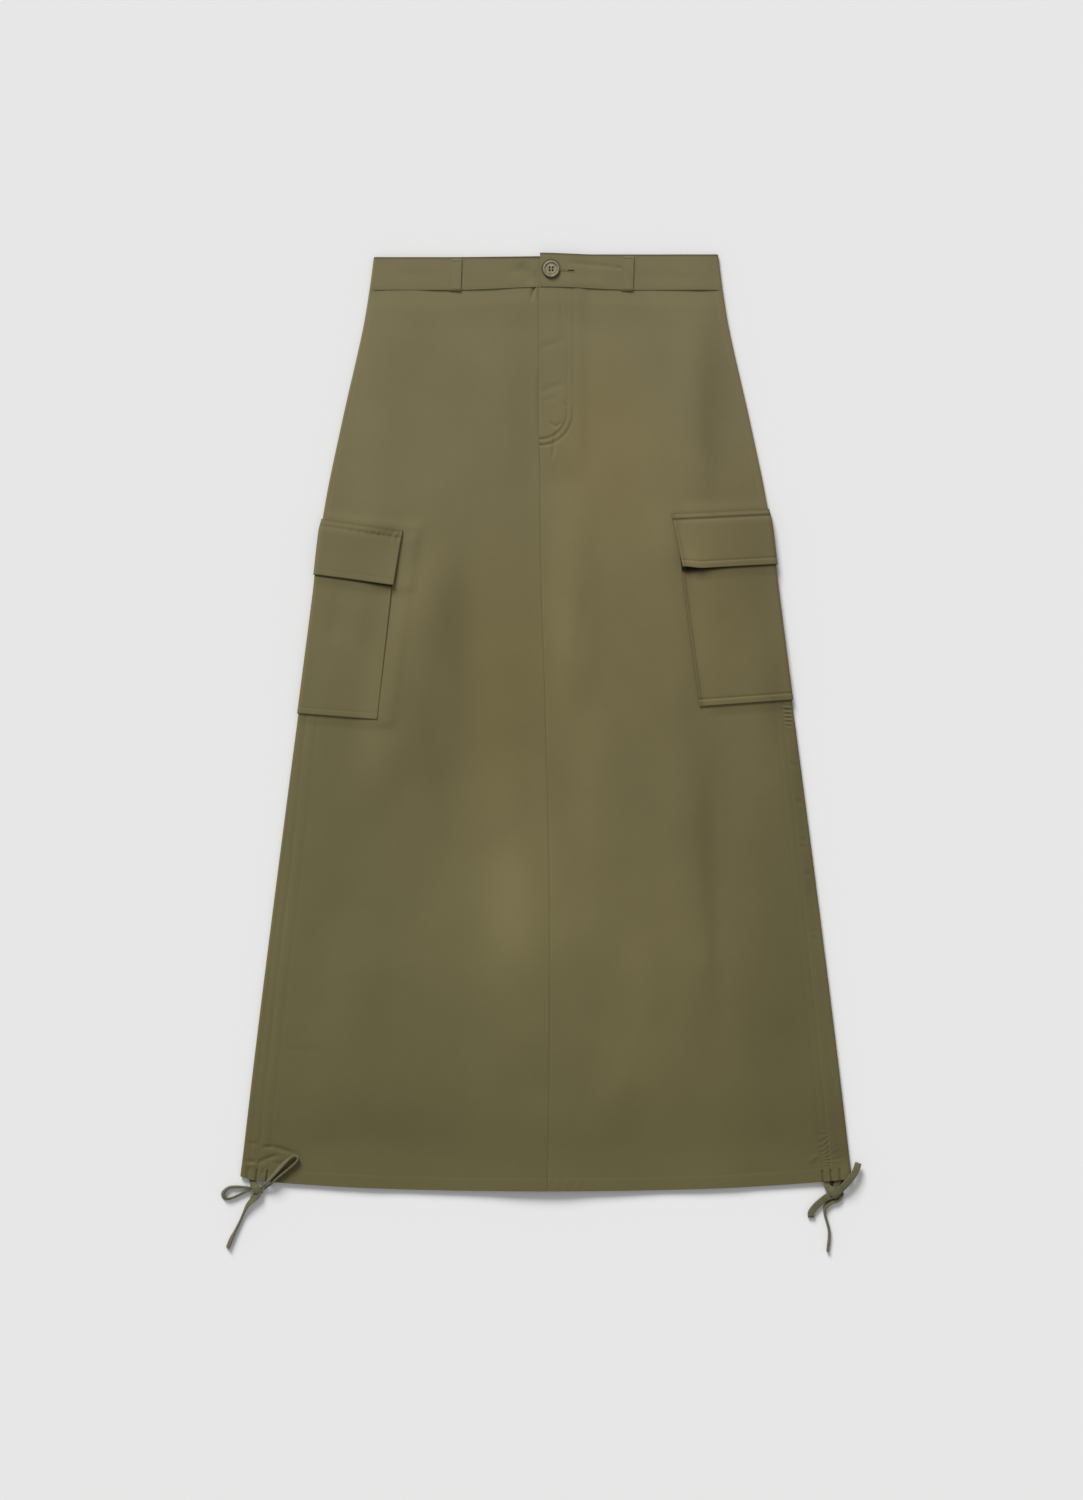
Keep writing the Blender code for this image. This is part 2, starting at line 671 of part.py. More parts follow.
# Places along a tape in millimetres: x, y, the height of its lower edge, and its roll
# in degrees, 0 where it lies flat and 90 where it stands on its edge.
Tape = namedtuple("Tape", "name layers places")
MILLIMETRE = 0.001
TAPES = (
    Tape("cord_right_lead", 1, (
        (-293.2, -459.2, 1.8, 0), (-292.9, -460.3, 2.3, 0), (-292.6, -461.4, 2.8, 0),
    )),
    Tape("cord_right_loop_a", 1, (
        (-294.2, -465.5, 0.1, 86), (-301.0, -464.9, 0.1, 86), (-309.2, -464.5, 0.1, 84),
        (-316.4, -465.2, 0.1, 84), (-321.3, -468.6, 0.1, 84), (-323.2, -472.6, 0.1, 84),
        (-320.6, -476.2, 0.1, 84), (-314.6, -475.9, 0.1, 84), (-304.7, -471.6, 0.1, 86),
        (-299.0, -469.0, 0.1, 88), (-294.4, -467.9, 0.1, 90),
    )),
    Tape("cord_right_loop_b", 1, (
        (-282.9, -463.8, 1.2, 82), (-279.4, -460.3, 5.0, 76), (-276.2, -456.6, 5.9, 45),
        (-272.0, -452.0, 5.8, 12), (-262.8, -441.8, 5.6, 15), (-256.0, -435.6, 5.5, 60),
        (-251.0, -432.8, 5.5, 86), (-247.6, -435.2, 5.5, 88), (-249.6, -439.4, 5.5, 86),
        (-257.6, -446.6, 5.5, 84), (-266.4, -453.6, 5.6, 82), (-271.6, -458.2, 5.6, 82),
        (-276.4, -462.6, 3.6, 84), (-281.2, -466.0, 1.2, 86),
    )),
    Tape("cord_right_tail_a", 1, (
        (-289.2, -473.6, 3.0, 20), (-294.0, -478.2, 2.2, 25), (-298.4, -483.2, 1.9, 45),
        (-301.4, -489.0, 1.4, 70), (-303.6, -494.0, 0.3, 80), (-305.6, -498.6, 0.1, 78),
        (-310.1, -507.8, 0.1, 66), (-314.6, -516.8, 0.1, 45), (-318.1, -525.7, 0.1, 46),
    )),
    Tape("cord_right_tail_b", 1, (
        (-290.2, -473.4, 1.0, 0), (-294.8, -477.8, 0.2, 0), (-299.2, -482.0, 0.1, 0),
        (-302.6, -485.6, 0.1, 0),
    )),
    Tape("cord_left_lead_a", 1, (
        (280.2, -460.1, 1.8, 0), (280.9, -462.4, 2.3, 0), (281.6, -464.8, 2.8, 0),
    )),
    Tape("cord_left_lead_b", 1, (
        (291.3, -459.0, 1.8, 0), (290.9, -461.6, 1.7, 0), (290.4, -464.2, 1.7, 0),
    )),
    Tape("cord_left_loop_a", 2, (
        (294.3, -466.9, 2.9, 0), (299.2, -461.4, 4.9, 0), (304.7, -455.0, 5.4, 0),
        (309.2, -448.0, 5.0, 0), (311.9, -440.9, 3.6, 0),
    )),
    Tape("cord_left_loop_b", 2, (
        (281.3, -474.1, 1.5, 0), (276.8, -477.6, 0.4, 0), (269.9, -483.7, 0.1, 0),
        (265.2, -490.0, 0.1, 0), (264.9, -494.6, 0.1, 0),
    )),
    Tape("cord_left_tail", 1, (
        (296.1, -470.4, 0.1, 82), (295.4, -474.4, 0.1, 82), (291.6, -478.0, 0.1, 82),
        (286.0, -479.2, 0.1, 80), (281.4, -482.2, 0.1, 78), (278.6, -486.5, 0.1, 76),
        (278.8, -492.6, 0.1, 74), (280.6, -498.9, 0.1, 72), (282.8, -507.8, 0.1, 70),
        (282.8, -516.8, 0.1, 70), (282.0, -523.0, 0.1, 72), (281.5, -529.3, 0.1, 72),
    )),
)
Knot = namedtuple("Knot", "name x y z width length height")
KNOTS = (
    Knot("cord_right_knot", -288.2, -467.2, 3.3, 11.8, 11.6, 6.4),
    Knot("cord_left_knot", 287.5, -470.3, 3.4, 14.6, 11.4, 6.6),
)
TAPE_POINT_EVERY = 0.0048


def smooth_route(places):
    """Points on a smooth curve through the places, each with its roll."""
    points = []
    for index in range(len(places) - 1):
        a = places[max(index - 1, 0)]
        b = places[index]
        c = places[index + 1]
        d = places[min(index + 2, len(places) - 1)]
        length = math.dist(b[:2], c[:2]) * MILLIMETRE
        count = max(1, round(length / TAPE_POINT_EVERY))
        for part in range(count):
            t = part / count
            points.append([
                0.5 * (2 * q + (r - p) * t + (2 * p - 5 * q + 4 * r - s) * t**2
                       + (3 * q - p - 3 * r + s) * t**3)
                for p, q, r, s in zip(a, b, c, d)
            ])
    points.append(list(places[-1]))
    return points


def drawcord_tape(tape, look, group):
    """A flat tape that turns on its edge where it bends."""
    thickness = TAPE_THICKNESS * tape.layers + GAP * (tape.layers - 1)
    curve = bpy.data.curves.new(tape.name, "CURVE")
    curve.dimensions = "3D"
    curve.twist_mode = "Z_UP"
    curve.extrude = (TAPE_WIDTH - thickness) / 2
    curve.bevel_depth = thickness / 2
    curve.bevel_resolution = 2
    curve.use_fill_caps = True
    route = smooth_route(tape.places)
    spline = curve.splines.new("POLY")
    spline.points.add(len(route) - 1)
    for point, (x, y, base, roll) in zip(spline.points, route):
        turn = math.radians(roll)
        half_height = curve.extrude * math.sin(turn) + thickness / 2
        point.co = (x * MILLIMETRE, y * MILLIMETRE, base * MILLIMETRE + half_height, 1.0)
        point.tilt = math.pi / 2 - turn
    piece = bpy.data.objects.new(tape.name, curve)
    group.objects.link(piece)
    curve.materials.append(look)


def knot(size, look, group):
    """The outer shape of a bow's knot."""
    bpy.ops.mesh.primitive_uv_sphere_add(segments=16, ring_count=10, radius=0.5)
    piece = bpy.context.object
    piece.name = size.name
    piece.data.name = size.name
    for vertex in piece.data.vertices:
        vertex.co.x *= size.width * MILLIMETRE
        vertex.co.y *= size.length * MILLIMETRE
        vertex.co.z *= size.height * MILLIMETRE
    piece.location = (size.x * MILLIMETRE, size.y * MILLIMETRE, size.z * MILLIMETRE)
    piece.data.shade_smooth()
    piece.data.materials.append(look)
    for owner in list(piece.users_collection):
        owner.objects.unlink(piece)
    group.objects.link(piece)


# ---------------------------------------------------------------- the skirt

clear_scene()
skirt = collection("cargo_utility_skirt")
cutters = collection("cutters")
cloth = finish("olive cotton", (0.168, 0.147, 0.075), 0.85)
horn = finish("olive button", (0.150, 0.120, 0.070), 0.45)
cord = finish("olive drawcord", (0.150, 0.130, 0.066), 0.80)
front_panels(cloth, skirt)
back_panel(cloth, skirt)
fly_shield(cloth, skirt)
waistband(cloth, skirt, cutters)
belt_loops(cloth, skirt)
pockets(cloth, skirt)
flaps(cloth, skirt)
casings(cloth, skirt)
button(horn, skirt, cutters)
for tape in TAPES:
    drawcord_tape(tape, cord, skirt)
for size in KNOTS:
    knot(size, cord, skirt)
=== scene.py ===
"""Cargo utility skirt in washed olive cotton, buttoned and laid flat with the front up.

Metres, +Z up, +Y to the waist, +X to the wearer's left. The skirt lies on z = 0.

The cloth is described by a ring round the skirt at each row. A place on the ring is
given by its side, by its girth, the distance over the cloth from the edge of that
side's fold (plus to the front, minus to the back), and by its drop, the distance
from the top of the waistband down the side fold.
"""
import math
from collections import namedtuple

import bpy
import numpy as np
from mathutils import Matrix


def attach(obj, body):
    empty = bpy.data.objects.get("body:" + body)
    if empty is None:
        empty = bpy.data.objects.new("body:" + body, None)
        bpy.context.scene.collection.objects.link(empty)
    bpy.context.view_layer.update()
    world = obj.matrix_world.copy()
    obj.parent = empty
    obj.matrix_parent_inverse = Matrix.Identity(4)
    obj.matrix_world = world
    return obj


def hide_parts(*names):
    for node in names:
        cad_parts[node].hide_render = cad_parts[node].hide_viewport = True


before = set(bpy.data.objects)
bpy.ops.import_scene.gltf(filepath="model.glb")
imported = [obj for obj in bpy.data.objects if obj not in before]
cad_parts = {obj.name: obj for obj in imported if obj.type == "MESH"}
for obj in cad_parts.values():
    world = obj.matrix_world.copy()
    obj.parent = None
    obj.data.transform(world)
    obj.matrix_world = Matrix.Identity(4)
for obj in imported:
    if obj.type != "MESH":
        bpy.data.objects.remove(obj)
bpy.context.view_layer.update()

# ------------------------------------------------------------ tabletop, light and camera
# The skirt lies on a plain pale tabletop. One wide soft lamp stands beyond the waist
# on the wearer's right, the rest is an even glow, and the camera hangs straight above.

PIXEL = 0.001
PICTURE_HEIGHT = 1500
PICTURE_CENTRE = (-0.0045, -0.0280)
LENS = 85.0
SENSOR = 36.0
FAR_LIMIT = 100.0
TABLE_WIDTH = 60.0
TABLE_BELOW = 0.0004
TABLE_TONE = 0.80
GLOW = 0.44
LAMP_SHARE = 0.56
LAMP_FROM = (-0.34, 0.94)
LAMP_HEIGHT = math.radians(32)
LAMP_WIDTH = math.radians(25)


def connect(tree, node, inputs):
    """Sets or links a shader node's inputs, given by place or by name."""
    for socket, value in inputs.items() if isinstance(inputs, dict) else enumerate(inputs):
        if isinstance(value, bpy.types.NodeSocket):
            tree.links.new(value, node.inputs[socket])
        else:
            node.inputs[socket].default_value = value


def add_node(tree, kind, inputs=(), output=0, **settings):
    """Adds a shader node with its settings and inputs, and gives one of its outputs."""
    made = tree.nodes.new("ShaderNode" + kind)
    for name, value in settings.items():
        setattr(made, name, value)
    connect(tree, made, inputs)
    return made.outputs[output]


def maths(tree, operation, *values):
    return add_node(tree, "Math", values, operation=operation)


def ranged(tree, value, start, end, first, last):
    """A value that runs from first to last as another runs from start to end."""
    return add_node(tree, "MapRange", {0: value, 1: start, 2: end, 3: first, 4: last})


def new_finish(name):
    """An empty finish: its material, its node tree and its shader."""
    material = bpy.data.materials.new(name)
    material.use_nodes = True
    return material, material.node_tree, material.node_tree.nodes["Principled BSDF"]


def put_in_scene(name, data):
    made = bpy.data.objects.new(name, data)
    bpy.context.scene.collection.objects.link(made)
    return made


def tabletop_finish():
    """Matt pale laminate with the faintest mottle."""
    material, tree, shader = new_finish("pale tabletop")
    mottle = add_node(tree, "TexNoise", {"Scale": 40.0, "Detail": 2.0})
    connect(tree, shader, {
        "Base Color": (TABLE_TONE, TABLE_TONE, TABLE_TONE, 1.0),
        "Roughness": ranged(tree, mottle, 0.0, 1.0, 0.85, 0.95),
        "Specular IOR Level": 0.0,
    })
    return material


bpy.context.scene.view_settings.view_transform = "Standard"
bpy.ops.mesh.primitive_plane_add(size=TABLE_WIDTH, location=(0.0, 0.0, -TABLE_BELOW))
tabletop = bpy.context.object
tabletop.name = "tabletop"
tabletop.data.materials.append(tabletop_finish())

world = bpy.data.worlds.new("studio glow")
world.use_nodes = True
glow = world.node_tree.nodes["Background"]
connect(world.node_tree, glow, {"Color": (1.0, 1.0, 1.0, 1.0), "Strength": GLOW})
bpy.context.scene.world = world

lamp = put_in_scene("soft lamp", bpy.data.lights.new("soft lamp", "SUN"))
lamp.data.energy = LAMP_SHARE * math.pi / math.sin(LAMP_HEIGHT)
lamp.data.angle = LAMP_WIDTH
lamp.rotation_euler = (0.0, math.pi / 2 - LAMP_HEIGHT, math.atan2(LAMP_FROM[1], LAMP_FROM[0]))

camera = put_in_scene("camera", bpy.data.cameras.new("camera"))
camera.data.lens = LENS
camera.data.sensor_width = SENSOR
camera.data.clip_end = FAR_LIMIT
camera.location = (*PICTURE_CENTRE, PICTURE_HEIGHT * PIXEL * LENS / SENSOR)
bpy.context.scene.camera = camera

# ------------------------------------------------------------ the two fronts
# Two A-line fronts of washed cotton twill, cut on the long grain. One seam joins them
# from the end of the fly to the hem. They carry the skirt's soft folds as it lies.

LENGTH = 0.937
SIDE_LENGTH = 0.925
TOP_Y = LENGTH / 2
HEM_SAG = LENGTH - SIDE_LENGTH
HEM_SAG_START = 0.70
HEM_SAG_POWER = 2.6
WALL = 0.0012
BAND_WALL = 0.0020
PANEL_THICKNESS = 0.0011
PANEL_EDGE = 0.00015
EDGE_ANGLE = math.radians(50)
GAP = 0.0003
HALF_SEAM = 0.00001
TRIM_STEP = 0.0013
RAMP = 0.012
FOLD_RADIUS = 0.0024
ARC_END = FOLD_RADIUS * math.pi / 2
SETTLE_START = 0.012
SETTLE_END = 0.075
BAND_DROP = 0.037
BAND_EASE = 0.043
SEAM_BOW = 0.003
SEAM_BOW_REACH = 0.09
FLY_END = 0.190
FLY_FADE_END = 0.235
FLY_WIDTH = 0.036
FLY_SLOPE_END = 0.052
FLY_BAND_EASE = 0.030
POCKET_TOP_BELOW_FLAP = 0.012
FALL_START = 0.080
FALL_END = 0.110
FALL_REACH = 2.2
HEM_DEPTH = 0.0130
CORNER_RISE = 0.0026
CORNER_RISE_REACH = 0.009
CORNER_RISE_START = 0.89


def table(columns, *rows):
    """The rows of a table with named columns."""
    named = namedtuple("Row", columns)
    return [named(*row) for row in rows]


# Half the flat width of the skirt at each drop.
OUTLINE = table(
    "drop half_width",
    (0.000, 0.1720), (0.037, 0.1765), (0.077, 0.1832), (0.167, 0.2035), (0.257, 0.2218),
    (0.347, 0.2328), (0.600, 0.2657), (0.720, 0.2810), (0.830, 0.2945), (0.925, 0.3055),
)

# The seams wander as the skirt lies: centre front by x, side seams by girth.
SEAMS = table(
    "drop centre right left",
    (0.000, -0.0060, 0.0058, 0.0084),
    (0.195, -0.0060, 0.0058, 0.0084),
    (0.311, -0.0050, 0.0062, 0.0088),
    (0.446, -0.0010, 0.0094, 0.0114),
    (0.600, 0.0030, 0.0136, 0.0152),
    (0.700, 0.0040, 0.0146, 0.0170),
    (0.830, 0.0030, 0.0160, 0.0194),
    (0.925, 0.0015, 0.0174, 0.0214),
)

# Each side's pocket, flap and casing stitches by girth and drop, and how far the cloth's
# rows fall towards the front corners of the pocket.
RIGHT, LEFT = SIDES = table(
    "name sign pocket_front pocket_back flap_front flap_back "
    "flap_top flap_bottom pocket_bottom top_fall bottom_fall casing_line",
    ("right", -1, 0.0785, 0.0905, 0.0817, 0.0940, 0.2655, 0.3215, 0.4600, 0.0120, 0.0062, 0.0104),
    ("left", 1, 0.0936, 0.0765, 0.0955, 0.0785, 0.2556, 0.3110, 0.4462, 0.0044, 0.0068, 0.0084),
)

# Soft folds: a crest from head to foot, its height, and its spread to each side of it.
DRAPES = table(
    "name head_x head_y foot_x foot_y height spread_right spread_left",
    ("right hip", -0.114, 0.190, -0.176, -0.110, 0.0038, 0.040, 0.040),
    ("right thigh", -0.052, -0.020, -0.010, -0.290, 0.0032, 0.060, 0.034),
    ("centre", 0.028, 0.250, 0.030, -0.010, 0.0026, 0.026, 0.030),
    ("left hip", 0.112, 0.230, 0.148, -0.010, 0.0026, 0.028, 0.024),
    ("left waist", 0.146, 0.400, 0.158, 0.190, 0.0026, 0.034, 0.020),
    ("left thigh", 0.146, -0.010, 0.160, -0.330, 0.0036, 0.044, 0.022),
    ("left shin", 0.112, -0.180, 0.066, -0.430, 0.0026, 0.040, 0.044),
    ("right shin", -0.190, -0.180, -0.214, -0.430, 0.0024, 0.044, 0.050),
    ("hem middle", 0.000, -0.360, 0.006, -0.560, 0.0034, 0.110, 0.100),
)
DRAPE_END_FADE = 0.30
DRAPE_SIDE_START = 0.010
DRAPE_SIDE_END = 0.060
DRAPE_WAIST_REACH = 0.060


def blend(at, start, end):
    """0 before start, 1 after end, an S-curve between."""
    share = np.clip((at - start) / (end - start), 0.0, 1.0)
    return share * share * (3 - 2 * share)


def between(at, start, full, fading, gone):
    """0 before start, 1 from full to fading, 0 again when gone."""
    return blend(at, start, full) * (1 - blend(at, fading, gone))


def bell(at, reach):
    """1 at 0, falling away to both sides over the reach."""
    return np.exp(-(at / reach) ** 2)


def read(rows, column, at):
    """Value of one column of a table at a drop, on a smooth curve through its rows."""
    drops = np.array([row.drop for row in rows])
    values = np.array([getattr(row, column) for row in rows])
    low = np.maximum(np.arange(len(rows)) - 1, 0)
    high = np.minimum(np.arange(len(rows)) + 1, len(rows) - 1)
    slopes = (values[high] - values[low]) / (drops[high] - drops[low])
    at = np.clip(at, drops[0], drops[-1])
    index = np.clip(np.searchsorted(drops, at) - 1, 0, len(rows) - 2)
    span = drops[index + 1] - drops[index]
    t = (at - drops[index]) / span
    keep = 2 * t**3 - 3 * t**2 + 1
    bend = (t**3 - 2 * t**2 + t) * slopes[index] + (t**3 - t**2) * slopes[index + 1]
    return keep * values[index] + (1 - keep) * values[index + 1] + span * bend


def half_width(drop):
    return read(OUTLINE, "half_width", drop)


def side_seam(side, drop):
    return read(SEAMS, side.name, drop)


def middle_girth(drop):
    """Girth of the middle of the skirt, measured from either fold."""
    return half_width(drop) - FOLD_RADIUS + ARC_END


def centre_girth(side, drop):
    """Girth of the centre front seam, measured from one side's fold."""
    return middle_girth(drop) - side.sign * read(SEAMS, "centre", drop)


def flat_x(side, girth, drop):
    """X of a place on the ring."""
    reach = np.abs(girth)
    round_fold = FOLD_RADIUS * (1 - np.cos(np.minimum(reach, ARC_END) / FOLD_RADIUS))
    return side.sign * (half_width(drop) - round_fold - np.maximum(reach - ARC_END, 0.0))


def pocket_fall(side, girth, drop):
    """How far the cloth's rows drop towards the pocket's front corner."""
    top, bottom = side.flap_top, side.pocket_bottom
    share = np.clip((drop - top) / (bottom - top), 0.0, 1.0)
    fall = side.top_fall + (side.bottom_fall - side.top_fall) * share
    fall = fall * between(drop, top - FALL_START, top, bottom, bottom + FALL_END)
    reach = np.abs(girth) / side.pocket_front
    return fall * np.where(reach <= 1.0, reach, 1 - blend(reach, 1.0, FALL_REACH))


def row_y(side, girth, drop):
    """Y of a place: level rows, bowed at the waist, by the pockets and at the hem."""
    x = np.abs(flat_x(side, girth, drop))
    bow = SEAM_BOW * (1 - blend(x, 0.0, SEAM_BOW_REACH))
    bow = bow * (1 - blend(drop, BAND_DROP, BAND_DROP + SEAM_BOW_REACH))
    sag = HEM_SAG * (1 - (x / half_width(drop)) ** HEM_SAG_POWER)
    sag = sag * blend(drop, HEM_SAG_START, SIDE_LENGTH)
    drawn_up = CORNER_RISE * bell(girth, CORNER_RISE_REACH) * (side is RIGHT)
    drawn_up = drawn_up * blend(drop, CORNER_RISE_START, SIDE_LENGTH)
    return TOP_Y - drop + bow - sag + drawn_up - pocket_fall(side, girth, drop)


def place_of(side, girth, drop):
    """X and y of a place on the ring."""
    return flat_x(side, girth, drop), row_y(side, girth, drop)


# How far a patch reaches to the front and the back of its fold, and its top and bottom.
Extent = namedtuple("Extent", "front back top bottom")


def pocket_extent(side):
    top = side.flap_top + POCKET_TOP_BELOW_FLAP
    return Extent(side.pocket_front, side.pocket_back, top, side.pocket_bottom)


def flap_extent(side):
    return Extent(side.flap_front, side.flap_back, side.flap_top, side.flap_bottom)


def covered_by(extent, girth, drop):
    """1 over a patch, 0 clear of it."""
    along = between(drop, extent.top - RAMP, extent.top, extent.bottom, extent.bottom + RAMP)
    edge = np.where(girth > 0, extent.front, extent.back)
    return along * (1 - blend(np.abs(girth), edge, edge + RAMP))


def bed(side, girth, drop):
    """Height of the back's underside: it lies on the back of the pocket and flap."""
    extents = (pocket_extent(side), flap_extent(side))
    return TRIM_STEP * sum(covered_by(extent, -np.abs(girth), drop) for extent in extents)


def drape(x, y):
    """Height of the soft folds at a place on the front."""
    total = np.zeros(np.shape(x))
    for fold in DRAPES:
        along = np.clip((fold.head_y - y) / (fold.head_y - fold.foot_y), 0.0, 1.0)
        off = x - fold.head_x - (fold.foot_x - fold.head_x) * along
        spread = np.where(off > 0, fold.spread_left, fold.spread_right)
        across = 1 - blend(np.abs(off), 0.0, spread)
        total = total + fold.height * across * between(along, 0.0, DRAPE_END_FADE, 1 - DRAPE_END_FADE, 1.0)
    return total


def front_height(side, girth, drop):
    """Height of the front's outside above the bed."""
    inside = np.abs(girth) - ARC_END
    shoulder = 2 * (BAND_WALL - WALL) * (1 - blend(drop, BAND_DROP, BAND_DROP + BAND_EASE))
    rest = 2 * WALL + GAP + shoulder
    fold = 2 * FOLD_RADIUS
    height = fold + (rest - fold) * blend(inside, SETTLE_START, SETTLE_END)
    clear_of_side = blend(inside, DRAPE_SIDE_START, DRAPE_SIDE_END)
    clear_of_waist = blend(drop, BAND_DROP, BAND_DROP + DRAPE_WAIST_REACH)
    return height + drape(*place_of(side, girth, drop)) * clear_of_side * clear_of_waist


def fly_lift(girth, drop):
    """The left front rides over the fly shield, and at the top over the waistband's end."""
    from_centre = centre_girth(LEFT, drop) - girth
    across = 1 - blend(from_centre, FLY_WIDTH, FLY_SLOPE_END)
    down = 1 - blend(drop, FLY_END, FLY_FADE_END)
    over_band = (BAND_WALL - WALL) * (1 - blend(drop, BAND_DROP, BAND_DROP + FLY_BAND_EASE))
    return (WALL + GAP + over_band) * across * down


def ring_points(side, girth, drop, out=0.0, lift=0.0):
    """Points of the cloth, moved out from its outer face, and lifted if in front."""
    girth, drop, out, lift = np.broadcast_arrays(girth, drop, out, lift)
    ground = bed(side, girth, drop)
    on_arc = np.abs(girth) <= ARC_END
    angle = np.clip(girth, -ARC_END, ARC_END) / FOLD_RADIUS
    radius = FOLD_RADIUS + out
    arc_x = side.sign * (half_width(drop) - FOLD_RADIUS + radius * np.cos(angle))
    arc_z = ground + FOLD_RADIUS + radius * np.sin(angle)
    front_z = ground + front_height(side, girth, drop) + out + lift
    x, y = place_of(side, girth, drop)
    z = np.where(on_arc, arc_z, np.where(girth < 0, ground - out, front_z))
    return np.stack([np.where(on_arc, arc_x, x), y, z], axis=-1)


# Small creases in millimetres: where each starts and ends, its height, trough if below
# zero, and how far it reaches to both sides.
MILLIMETRE = 0.001
CREASE_COLUMNS = "head_x head_y foot_x foot_y height reach"
CREASE_PAST_END = 0.15
CREASE_FULL = 0.25
FRONT_CREASES = table(
    CREASE_COLUMNS,
    # below the waistband and beside the fly
    (-11.4, 438, -14.4, 423, -1.7, 1.3),
    (-8.8, 438, -10.8, 424, 0.5, 1.5),
    (14, 426, 20, 377, -0.5, 3),
    (-5, 374, 16, 380, -0.45, 2.6),
    (-5, 330, 18, 338, -0.5, 3),
    (-5, 320, 10, 324, -0.35, 1.8),
    (4, 299.6, 10.4, 294.4, -0.7, 1.2),
    (15.6, 299.6, 9.6, 294.4, -0.7, 1.2),
    (9, 287, 6.4, 264, -0.9, 1.3),
    (18.5, 323, 25, 320.4, -0.45, 1),
    (17, 317.5, 22, 315.5, -0.4, 1),
    (-8, 345, -7, 290, -0.45, 2.2),
    # long soft ones
    (-91, 112, -115, -59, -1.1, 13),
    (-127, 148, -170, -10, 0.8, 15),
    (13, 197, 12, 112, 0.5, 8),
    (43, 136, 31, 57, -0.5, 7),
    (86, 136, 98, 99, -0.4, 6),
    (171, 404, 165, 203, -0.7, 12),
    (153, -28, 165, -181, -0.8, 10),
    (165, -181, 165, -278, -0.7, 12),
    (110, -254, 74, -376, 0.6, 12),
    (-265, -327, -219.5, -327, -0.35, 1.6),
    (-259, -339.5, -249, -339.5, -0.2, 1.6),
    # drawn in by the cord at the right hem corner
    (-284, -425, -272.3, -424, -1.1, 1.8),
    (-272.3, -424, -252, -431, -1.2, 2),
    (-287, -438.6, -268, -432.7, -1.1, 1.8),
    (-304.6, -440.8, -280, -439.4, -1.2, 1.9),
    (-272, -440, -252, -444, -0.7, 2.2),
    (-283, -452.5, -282, -446, -1.1, 1.6),
    (-269.4, -378, -269.4, -402, 0.35, 3),
    # drawn in by the cord at the left hem corner
    (264, -440, 270, -433, 0.8, 1.8),
)
# where the cords in the casings draw in the cloth beside the side seams
SEAM_CREASES = table(
    CREASE_COLUMNS,
    (-307, -438, -290, -439.5, -1.3, 1.5),
    (-307, -442.6, -288, -442.4, 0.6, 1.8),
    (-300, -420, -288, -422, -0.8, 1.8),
    (-296, -376, -288, -378, -0.5, 1.8),
    (243, -42, 252, -44, -0.6, 1.6),
    (250, -79, 256, -81, -0.8, 1.6),
    (254, -118, 260, -119, -0.8, 1.5),
    (254, -124, 260, -125.5, -0.8, 1.5),
    (259, -151, 265, -153, -0.8, 1.6),
    (266, -208, 272, -210, -0.6, 1.6),
    (267, -216, 273, -217, -0.6, 1.6),
)


def crease_height(creases, x, y):
    """Height of the small creases at a place."""
    total = np.zeros(np.shape(x))
    for crease in creases:
        head_x, head_y, foot_x, foot_y, height, reach = (value * MILLIMETRE for value in crease)
        run_x, run_y = foot_x - head_x, foot_y - head_y
        length = math.hypot(run_x, run_y)
        along = ((x - head_x) * run_x + (y - head_y) * run_y) / length**2
        off = ((x - head_x) * run_y - (y - head_y) * run_x) / length
        ends = between(along, -CREASE_PAST_END, CREASE_FULL, 1 - CREASE_FULL, 1 + CREASE_PAST_END)
        total = total + height * bell(off, reach) * ends
    return total


# Slight waves that washing leaves, mostly up and down the cloth.
WASH_WAVES = 12
WASH_WAVE_LENGTHS = (0.030, 0.120)
WASH_WAVE_TURN = 0.55
WASH_WAVE_SWAY = 0.6
WASH_WAVE_SWAY_LENGTHS = (0.05, 0.12)
WASH_WAVE_SWAY_START = 6.0
WASH_WAVE_STEEPNESS = 0.0011


def unevenness(x, y):
    """Height of the waves of washing at a place."""
    seeded = np.random.default_rng(11)
    total = np.zeros(np.shape(x))
    for _ in range(WASH_WAVES):
        length = seeded.uniform(*WASH_WAVE_LENGTHS)
        turn = seeded.normal(0.0, WASH_WAVE_TURN)
        start = seeded.uniform(0.0, 2 * math.pi)
        sway = y / seeded.uniform(*WASH_WAVE_SWAY_LENGTHS) + seeded.uniform(0.0, WASH_WAVE_SWAY_START)
        way = x * math.cos(turn) + y * math.sin(turn)
        total = total + np.sin(2 * math.pi * way / length + start + WASH_WAVE_SWAY * np.sin(sway)) * length
    return total * WASH_WAVE_STEEPNESS


def ripple(along, at, pitch, sway, sway_reach):
    """Uneven waves of a pitch, which sway to and fro."""
    return np.sin(2 * math.pi * along / pitch + sway * np.sin(at / sway_reach))


# The casings draw the cloth in. Of these ripples: their height; where they start, are
# full, fade and are gone, up from the hem and down from the pocket; where they lie beside
# the seam and how far they reach; their pitch, their sway and its distance; their slant.
HEM_GATHERS = {RIGHT: 0.00012, LEFT: 0.00040}
HEM_GATHERS_SPAN = (0.004, 0.018, 0.034, 0.062)
HEM_GATHERS_AT = 0.001
HEM_GATHERS_REACH = 0.0090
HEM_GATHERS_WAVES = (0.0040, 2.2, 0.0063)
HEM_GATHERS_SLANT = 0.45
HEM_GATHERS_SLANT_TURNS = 0.0090
HEM_GATHERS_SHIFT = 0.0012
HEM_GATHERS_SHIFT_TURNS = 0.0031
POCKET_GATHERS = {RIGHT: 0.0, LEFT: 0.00055}
POCKET_GATHERS_SPAN = (0.003, 0.007, 0.018, 0.034)
POCKET_GATHERS_AT = -0.0045
